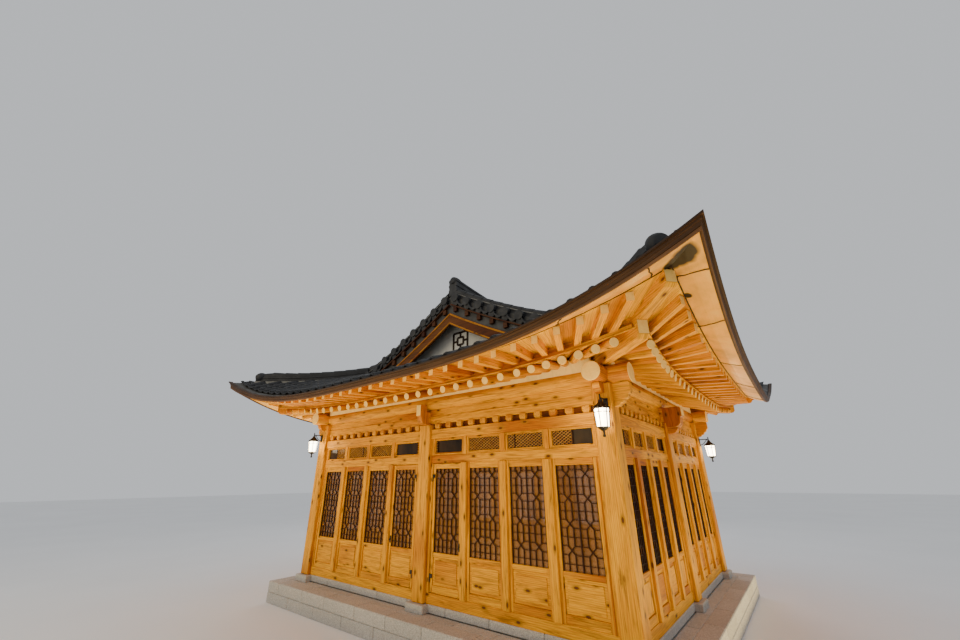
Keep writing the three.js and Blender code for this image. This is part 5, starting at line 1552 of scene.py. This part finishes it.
class MakeTiles(bpy.types.Operator):
    """Tile the four slopes with pan tiles, cover tiles and their round ends, and the verges"""

    bl_idname = "hanok.tiles"
    bl_label = "Roof tiles"

    def execute(self, context):
        for name, half, line, quarter in SIDES:
            self.slope(context.scene.hanok_sizes, name, half, line, quarter, quarter % 2 == 1)
        for name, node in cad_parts.items():
            if name.startswith(("roof_slope", "roof_skirt")):
                use(node, "bedding")
            elif name.startswith("gable_wall"):
                use(node, "plaster")
            elif name.startswith("bargeboard"):
                use(node, "barge_pine")
        return {"FINISHED"}

    def slope(self, sizes, name, half, line, quarter, main):
        pans, covers = Pile(quarter), Pile(quarter)
        pitch, radius, lift = sizes.tile_pitch, sizes.cover_radius, 0.024
        pan_foot, cover_foot, least, overlap = 0.18, 0.25, 0.12, 1.04
        count = int((slope_half(half, 0.2) - 0.1) / pitch)
        ridge_run = MAIN_RUN - 0.12 if main else GABLE_RUN

        def top_run(along):
            if main and abs(along) < VERGE_HALF - 0.06:
                return ridge_run
            return min(hip_run(half, along) - 0.02, ridge_run)

        def surface(along, run):
            return roof_point(half, line, along, run, main)

        def normal_at(along, run):
            up = surface(along, run + 0.05) - surface(along, run - 0.05)
            across = surface(along + 0.05, run) - surface(along - 0.05, run)
            return unit(np.cross(across, up))

        def lay(pile, name, along, run, length, size, lift_low, lift_high):
            x, y, z = shapes[name]["points"].T
            share = x + 0.5
            base = surface(along + y * size, run + share * length * overlap)
            rise = lift_low + (lift_high - lift_low) * share + z * size
            points = base + normal_at(along, run + length / 2) * rise[:, None]
            pile.lay(name, points, (length, size, size))

        for k in range(-count, count + 1):
            along = k * pitch
            run, top = pan_foot, top_run(along)
            while run < top - 0.05:
                lay(pans, "pan", along, run, min(sizes.pan_length, top - run), pitch, 0.036, 0.014)
                run += sizes.pan_length
        for k in range(-count - 1, count + 1):
            along = (k + 0.5) * pitch
            run, top = cover_foot, top_run(along)
            if top - run < least:
                continue
            up = normal_at(along, run) * lift
            covers.rod("disc", surface(along, run) + up, surface(along, run - 0.03) + up, radius * 1.02)
            while run < top - 0.06:
                lay(covers, "cover", along, run, min(sizes.cover_length, top - run), radius, lift, 0.02)
                run += sizes.cover_length
        if main:
            for way, end in ((-1, "a"), (1, "b")):
                self.verge(name, quarter, surface, way, end)
        pans.piece("pan_tiles_" + name, "tile", "roof_tile")
        covers.piece("cover_tiles_" + name, "tile", "roof_tile")

    def verge(self, name, quarter, surface, way, end):
        """Round tile ends, hanging pan ends, and short rafter ends under a board, up one verge."""
        pile = Pile(quarter)
        pitch = 0.35

        def spot(place, run):
            along, drop = place
            return surface(way * along, run) - np.array([0, 0, drop])

        # places across the verge, each as how far along the eave it lies and how far below the roof
        rounds = (((2.0, 0.01), (2.405, 0.02), 0.105), ((2.3, 0.14), (2.372, 0.15), 0.082))
        rafter, pan, board = ((2.2, 0.315), (2.375, 0.315)), (2.36, 0.05), (2.345, 0.235)
        runs = np.arange(VERGE_RUN + 0.12, MAIN_RUN - 0.1, pitch)
        for run in runs:
            for near, far, radius in rounds:
                pile.rod("disc", spot(near, run), spot(far, run), radius)
            pile.beam("bar", spot(rafter[0], run), spot(rafter[1], run), 0.1, 0.12, slot=1)
        x, y, z = shapes["drip"]["points"].T
        wide, thick, high = 0.27, 0.07, 0.14
        for run in runs[:-1] + pitch / 2:
            across = unit(spot(pan, run + 0.1) - spot(pan, run - 0.1)) * wide
            points = spot(pan, run) + x[:, None] * across
            points[:, 0] += y * thick * way
            points[:, 2] += z * high
            pile.lay("drip", points)
        steps = np.linspace(VERGE_RUN + 0.02, MAIN_RUN - 0.03, 14)
        for a, b in zip(steps, steps[1:]):
            pile.beam("bar", spot(board, a), spot(board, b), 0.085, 0.03, slot=1)
        pile.piece("verge_tiles_" + name + "_" + end, "tile dark_pine", "roof_tile")


class MakeRidges(bpy.types.Operator):
    """Stack the main ridge, the verge ridges and the hip ridges with their round ends"""

    bl_idname = "hanok.ridges"
    bl_label = "Ridges"

    def execute(self, context):
        ys = np.linspace(-VERGE_HALF + 0.03, VERGE_HALF - 0.03, 17)
        path = [(0, y, roof_height(MAIN_RUN)) for y in ys]
        heights = 0.42 + 0.12 * (ys / VERGE_HALF) ** 2
        self.ridge("main_ridge_tiles", path, heights, MAIN_COURSES, nodes=("main_ridge",), ends=(1, 1))
        for name, _, sx, sy in CORNERS:
            shares = np.linspace(0, 1, 14)
            start = 0.1303
            xs = start + shares * (MAIN_RUN - VERGE_RUN - start)
            path = [(sx * x, sy * VERGE_CENTRE, hip_height(MAIN_RUN - x)) for x in xs]
            heights = np.interp(shares, *zip(*VERGE_RIDGE))
            nodes = ("corner_ridge_" + name,)
            self.ridge("verge_ridge_" + name, path, heights, SIDE_COURSES, nodes, bed=VERGE_BED)
            path = []
            runs = np.linspace(HIP_RIDGE[-1][0], HIP_RIDGE[0][0], 18)
            for run in runs:
                out = EAVE_OUT - run + EAVE_SWEEP * fade(run)
                path.append((sx * (HALF_WIDTH + out), sy * (HALF_DEPTH + out), hip_height(run)))
            heights = np.interp(runs, *zip(*HIP_RIDGE))
            self.ridge("hip_ridge_" + name, path, heights, SIDE_COURSES, lump=HIP_LUMP)
        return {"FINISHED"}

    def ridge(self, name, path, heights, courses, nodes=(), ends=(0, 1), bed=RIDGE_BED, lump=RIDGE_LUMP):
        """Courses of flat tiles under a row of cover tiles, along a path from its upper to its lower end."""
        half, layers = courses
        path = np.asarray(path, float)
        heights = np.asarray(heights, float) - 0.07
        foot, step, gap, crown_half, cover = -0.06, 0.014, 0.16 / layers, 0.07, 0.078
        section = [(-half, None)]
        for i in range(layers):
            edge = -half + (0.012 if i % 2 else 0.0)
            low, high = i / layers, (i + 1) / layers
            section += [(edge, low), (edge, high - gap), (edge + step, high - gap), (edge + step, high)]
        section.append((-crown_half, 1))
        section += [(-u, v) for u, v in reversed(section)]
        edge = half + 0.006
        joint = [(-edge, bed[0]), (-edge, bed[1]), (edge, bed[1]), (edge, bed[0])]
        rings, mortar = [], []
        for i, point in enumerate(path):
            across = unit(np.cross((0, 0, 1.0), path[min(i + 1, len(path) - 1)] - path[max(i - 1, 0)]))
            courses = [(u, foot if v is None else v * heights[i]) for u, v in section]
            for made, pairs in ((rings, courses), (mortar, joint)):
                made.append([point + across * u + np.array([0, 0, z]) for u, z in pairs])
        swept(name, rings, "tile", nodes=nodes)
        swept(name + "_mortar", mortar, "mortar")
        tops = Pile()
        crown = path + np.stack([heights * 0, heights * 0, heights], 1)
        distance = distances(crown)
        first, last = (0.1 if end else 0.0 for end in ends)
        total = distance[-1] - first - last
        count = max(round(total / 0.3), 1)

        def at(s):
            return np.array([np.interp(s, distance, crown[:, i]) for i in range(3)])

        for i in range(count):
            # each cover tile overlaps the one below it
            low, high = at(first + (i + 1) * total / count), at(first + i * total / count - 0.01)
            axes = axes_along(high - low) * [[np.linalg.norm(high - low)], [cover], [cover]]
            middle = (low + high) / 2 - np.array([0, 0, 0.006])
            tops.lay("cover", middle + shapes["cover"]["points"] @ axes, (0.3, cover, cover))
        sink, back, size = lump
        for wanted, tip, before in ((ends[0], crown[0], crown[1]), (ends[1], crown[-1], crown[-2])):
            if wanted:
                axes = axes_along(tip - before)
                middle = tip - np.array([0, 0, sink]) - axes[0] * back
                tops.lay("lump", middle + shapes["lump"]["points"] * size @ axes, (0.15, 0.15, 0.15))
        tops.piece(name + "_covers", "tile", "roof_tile")


class MakeGables(bpy.types.Operator):
    """Finish the gables: a fret of dark brick in the plaster, and mouldings on the bargeboards"""

    bl_idname = "hanok.gables"
    bl_label = "Gables"

    def execute(self, context):
        centre, size, outer, inner = 5.5, 0.15, 1.45, 0.6
        brick, proud, moulded = 0.05, 0.018, 0.014
        strokes = []
        for reach in (outer, inner):
            corners = [(-reach, -reach), (reach, -reach), (reach, reach), (-reach, reach)]
            strokes += zip(corners, corners[1:] + corners[:1])
        strokes += [((-outer, 0), (-inner, 0)), ((inner, 0), (outer, 0))]
        strokes += [((0, -outer), (0, -inner)), ((0, inner), (0, outer))]
        xs = np.linspace(-2.9, 2.9, 25)
        for name, quarter in (("front", 0), ("back", 2)):
            fret, mould = Pile(quarter), Pile(quarter)
            for stroke in strokes:
                ends = [(x * size, -GABLE_LINE - 0.005, centre + z * size) for x, z in stroke]
                fret.beam("bar", *ends, brick, proud, (0, 1, 0))
            fret.piece("gable_fret_" + name, "seam", "gutter_metal")
            for low, high in ((BARGE_TOP + 0.012, BARGE_TOP + 0.05), (BARGE_LOW - 0.05, BARGE_LOW - 0.015)):
                crest = roof_height(MAIN_RUN - abs(xs)) - (low + high) / 2
                path = [(x, -VERGE_HALF - 0.05, z) for x, z in zip(xs, crest)]
                for a, b in zip(path, path[1:]):
                    mould.beam("bar", a, b, high - low, moulded, (0, 1, 0))
            mould.piece("bargeboard_mould_" + name, "red_pine", "frame_pine")
        return {"FINISHED"}


class MakeLanterns(bpy.types.Operator):
    """Hang the iron lanterns with their frosted glass"""

    bl_idname = "hanok.lanterns"
    bl_label = "Lanterns"

    def execute(self, context):
        beside, face = HALF_WIDTH + 0.06, -HALF_DEPTH - COLUMN / 2
        self.lantern("front_right", beside, face, 0, 0)
        self.lantern("front_left", -beside, face, 0, 0)
        self.lantern("back_right", HALF_WIDTH + COLUMN / 2, HALF_DEPTH, 1, 0.16)
        return {"FINISHED"}

    def lantern(self, name, x, y, quarter, drop):
        """One lantern on a wall plate at a place, lower than the others by a drop."""
        reach, low, high, wide = 0.21, 3.095, 3.345, 0.108
        iron, glass = Pile(), Pile()

        def here(out, z, px=0, py=0):
            spot = turned(np.array([[px, py - out, 0]]), quarter)[0]
            return (x + spot[0], y + spot[1], z - drop)

        angles = [math.radians(30 + 60 * i) for i in range(7)]
        corners = [(wide * math.cos(angle), wide * math.sin(angle)) for angle in angles]
        for near, far in zip(corners, corners[1:]):

            def corner(share, z, of=near):
                return here(reach, z, of[0] * share, of[1] * share)

            iron.beam("bar", corner(0.8, low), corner(1, high), 0.012, 0.012, (0.3, 0.9, 0.1))
            for z, share in ((low, 0.8), (high, 1.0), (high - 0.05, 0.97)):
                iron.beam("bar", corner(share, z), corner(share, z, far), 0.01, 0.01)
            iron.beam("bar", corner(1.1, high + 0.012), here(reach, high + 0.1), 0.014, 0.014)
        # the glass, and the cap, stem and foot of iron, each as its heights and radii
        for pile, shape, foot, top, radius, far_radius in (
            (glass, "hexagon", low + 0.004, high - 0.004, 0.084, 0.104),
            (iron, "hexagon", high + 0.002, high + 0.105, 0.122, 0.026),
            (iron, "disc", high + 0.1, high + 0.12, 0.032, 0.032),
            (iron, "disc", high + 0.12, 3.545, 0.012, 0.012),
            (iron, "hexagon", low - 0.045, low, 0.03, 0.088),
            (iron, "disc", 2.99, low - 0.04, 0.014, 0.014),
            (iron, "disc", 2.972, 2.995, 0.02, 0.02),
        ):
            pile.rod(shape, here(reach, foot), here(reach, top), radius, far_radius)
        iron.block("bar", here(0.014, 3.342, -0.034), here(0.001, 3.518, 0.034))
        steps = [(0.01, 3.365), (0.05, 3.375), (0.1, 3.405), (0.14, 3.45), (0.175, 3.488), (0.21, 3.495)]
        for a, b in zip(steps, steps[1:]):
            iron.rod("disc", here(*a), here(*b), 0.008)
        iron.rod("disc", here(0.005, 3.495), here(reach, 3.495), 0.011)
        iron.piece("lantern_iron_" + name, "metal", "lantern_metal", nodes=("lantern_" + name,))
        glass.piece("lantern_glass_" + name, "glow", "window_glass")
        light = bpy.data.lights.new("lantern_light_" + name, "POINT")
        light.energy = 15
        light.color = (1.0, 0.74, 0.36)
        light.shadow_soft_size = 0.1
        lamp = bpy.data.objects.new("lantern_light_" + name, light)
        lamp.location = here(reach + 0.24, 3.22)
        lamp.visible_camera = False
        bpy.context.scene.collection.objects.link(lamp)


class MakeStage(bpy.types.Operator):
    """Set the pale floor, the soft lights and the camera"""

    bl_idname = "hanok.stage"
    bl_label = "Stage"

    def execute(self, context):
        bpy.ops.mesh.primitive_plane_add(size=160)
        floor = bpy.context.active_object
        floor.name = "studio_floor"
        start_edit(floor)
        bpy.ops.mesh.subdivide(number_cuts=3)
        end_edit()
        floor.data.materials.append(look["stage"])
        world = bpy.data.worlds.new("Soft studio")
        context.scene.world = world
        world.use_nodes = True
        background = world.node_tree.nodes["Background"]
        background.inputs["Color"].default_value = (0.88, 0.91, 0.95, 1)
        background.inputs["Strength"].default_value = 0.7
        for name, place, target, size, energy, colour in (
            ("key", (-5, -16, 8), (0, 0, 3), (9, 9), 480, (1.0, 0.80, 0.44)),
            ("back", (-9, 13, 9), (0, 0, 3), (10, 10), 600, (0.97, 0.97, 1.0)),
            ("front_wash", (0, -6.4, 0.03), (0, -6.4, 9), (10, 2.4), 410, (1.0, 0.76, 0.32)),
            ("right_wash", (5.4, 0, 0.03), (5.4, 0, 9), (2.0, 8.5), 220, (1.0, 0.76, 0.32)),
            ("back_wash", (0, 6.4, 0.03), (0, 6.4, 9), (10, 2.4), 380, (1.0, 0.76, 0.36)),
            ("left_wash", (-7.2, 0, 0.03), (-7.2, 0, 9), (2.4, 8.5), 380, (1.0, 0.76, 0.36)),
            ("room", (0, 0, 3.1), (0, 0, 0), (5, 4), 90, (1.0, 0.76, 0.46)),
        ):
            light = bpy.data.lights.new(name, "AREA")
            light.shape = "RECTANGLE"
            light.size, light.size_y = size
            light.energy = energy
            light.color = colour
            lamp = bpy.data.objects.new(name, light)
            lamp.location = place
            lamp.rotation_euler = (Vector(target) - Vector(place)).to_track_quat("-Z", "Y").to_euler()
            lamp.visible_camera = False
            context.scene.collection.objects.link(lamp)
        self.camera(context)
        return {"FINISHED"}

    def camera(self, context):
        pitch, turn, roll = (math.radians(angle) for angle in (22.456, 38.115, -0.403))
        level = math.cos(pitch)
        forward = Vector((-math.sin(turn) * level, math.cos(turn) * level, math.sin(pitch)))
        right = Vector((math.cos(turn), math.sin(turn), 0))
        up = right.cross(forward)
        level_right = right * math.cos(roll) + up * math.sin(roll)
        level_up = up * math.cos(roll) - right * math.sin(roll)
        view = bpy.data.cameras.new("photo_view")
        view.lens = 14.456
        view.sensor_width = 36
        view.sensor_fit = "HORIZONTAL"
        view.clip_end = 300
        camera = bpy.data.objects.new("photo_view", view)
        axes = Matrix((level_right, level_up, -forward)).transposed().to_4x4()
        camera.matrix_world = Matrix.Translation((5.726, -8.504, 2.45)) @ axes
        context.scene.collection.objects.link(camera)
        context.scene.camera = camera


class HanokPanel(bpy.types.Panel):
    """The steps that dress the house"""

    bl_idname = "VIEW3D_PT_hanok"
    bl_label = "Hanok house"
    bl_space_type = "VIEW_3D"
    bl_region_type = "UI"
    bl_category = "Hanok"

    def draw(self, context):
        for step in STEPS:
            self.layout.operator(step.bl_idname)
        for group in (context.scene.hanok_sizes, context.scene.hanok_colours):
            for field in group.__annotations__:
                self.layout.prop(group, field)


STEPS = (
    MakeFinishes,
    MakeShapes,
    MakePlatform,
    MakeWalls,
    MakeBeams,
    MakeRafters,
    MakeEaves,
    MakeTiles,
    MakeRidges,
    MakeGables,
    MakeLanterns,
    MakeStage,
)
CLASSES = (HanokSizes, HanokColours, *STEPS, HanokPanel)


def register():
    for made in CLASSES:
        bpy.utils.register_class(made)
    bpy.types.Scene.hanok_sizes = bpy.props.PointerProperty(type=HanokSizes)
    bpy.types.Scene.hanok_colours = bpy.props.PointerProperty(type=HanokColours)


def unregister():
    del bpy.types.Scene.hanok_colours
    del bpy.types.Scene.hanok_sizes
    for made in reversed(CLASSES):
        bpy.utils.unregister_class(made)


def main():
    register()
    for step in STEPS:
        group, name = step.bl_idname.split(".")
        getattr(getattr(bpy.ops, group), name)()
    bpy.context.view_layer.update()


if __name__ == "__main__":
    main()
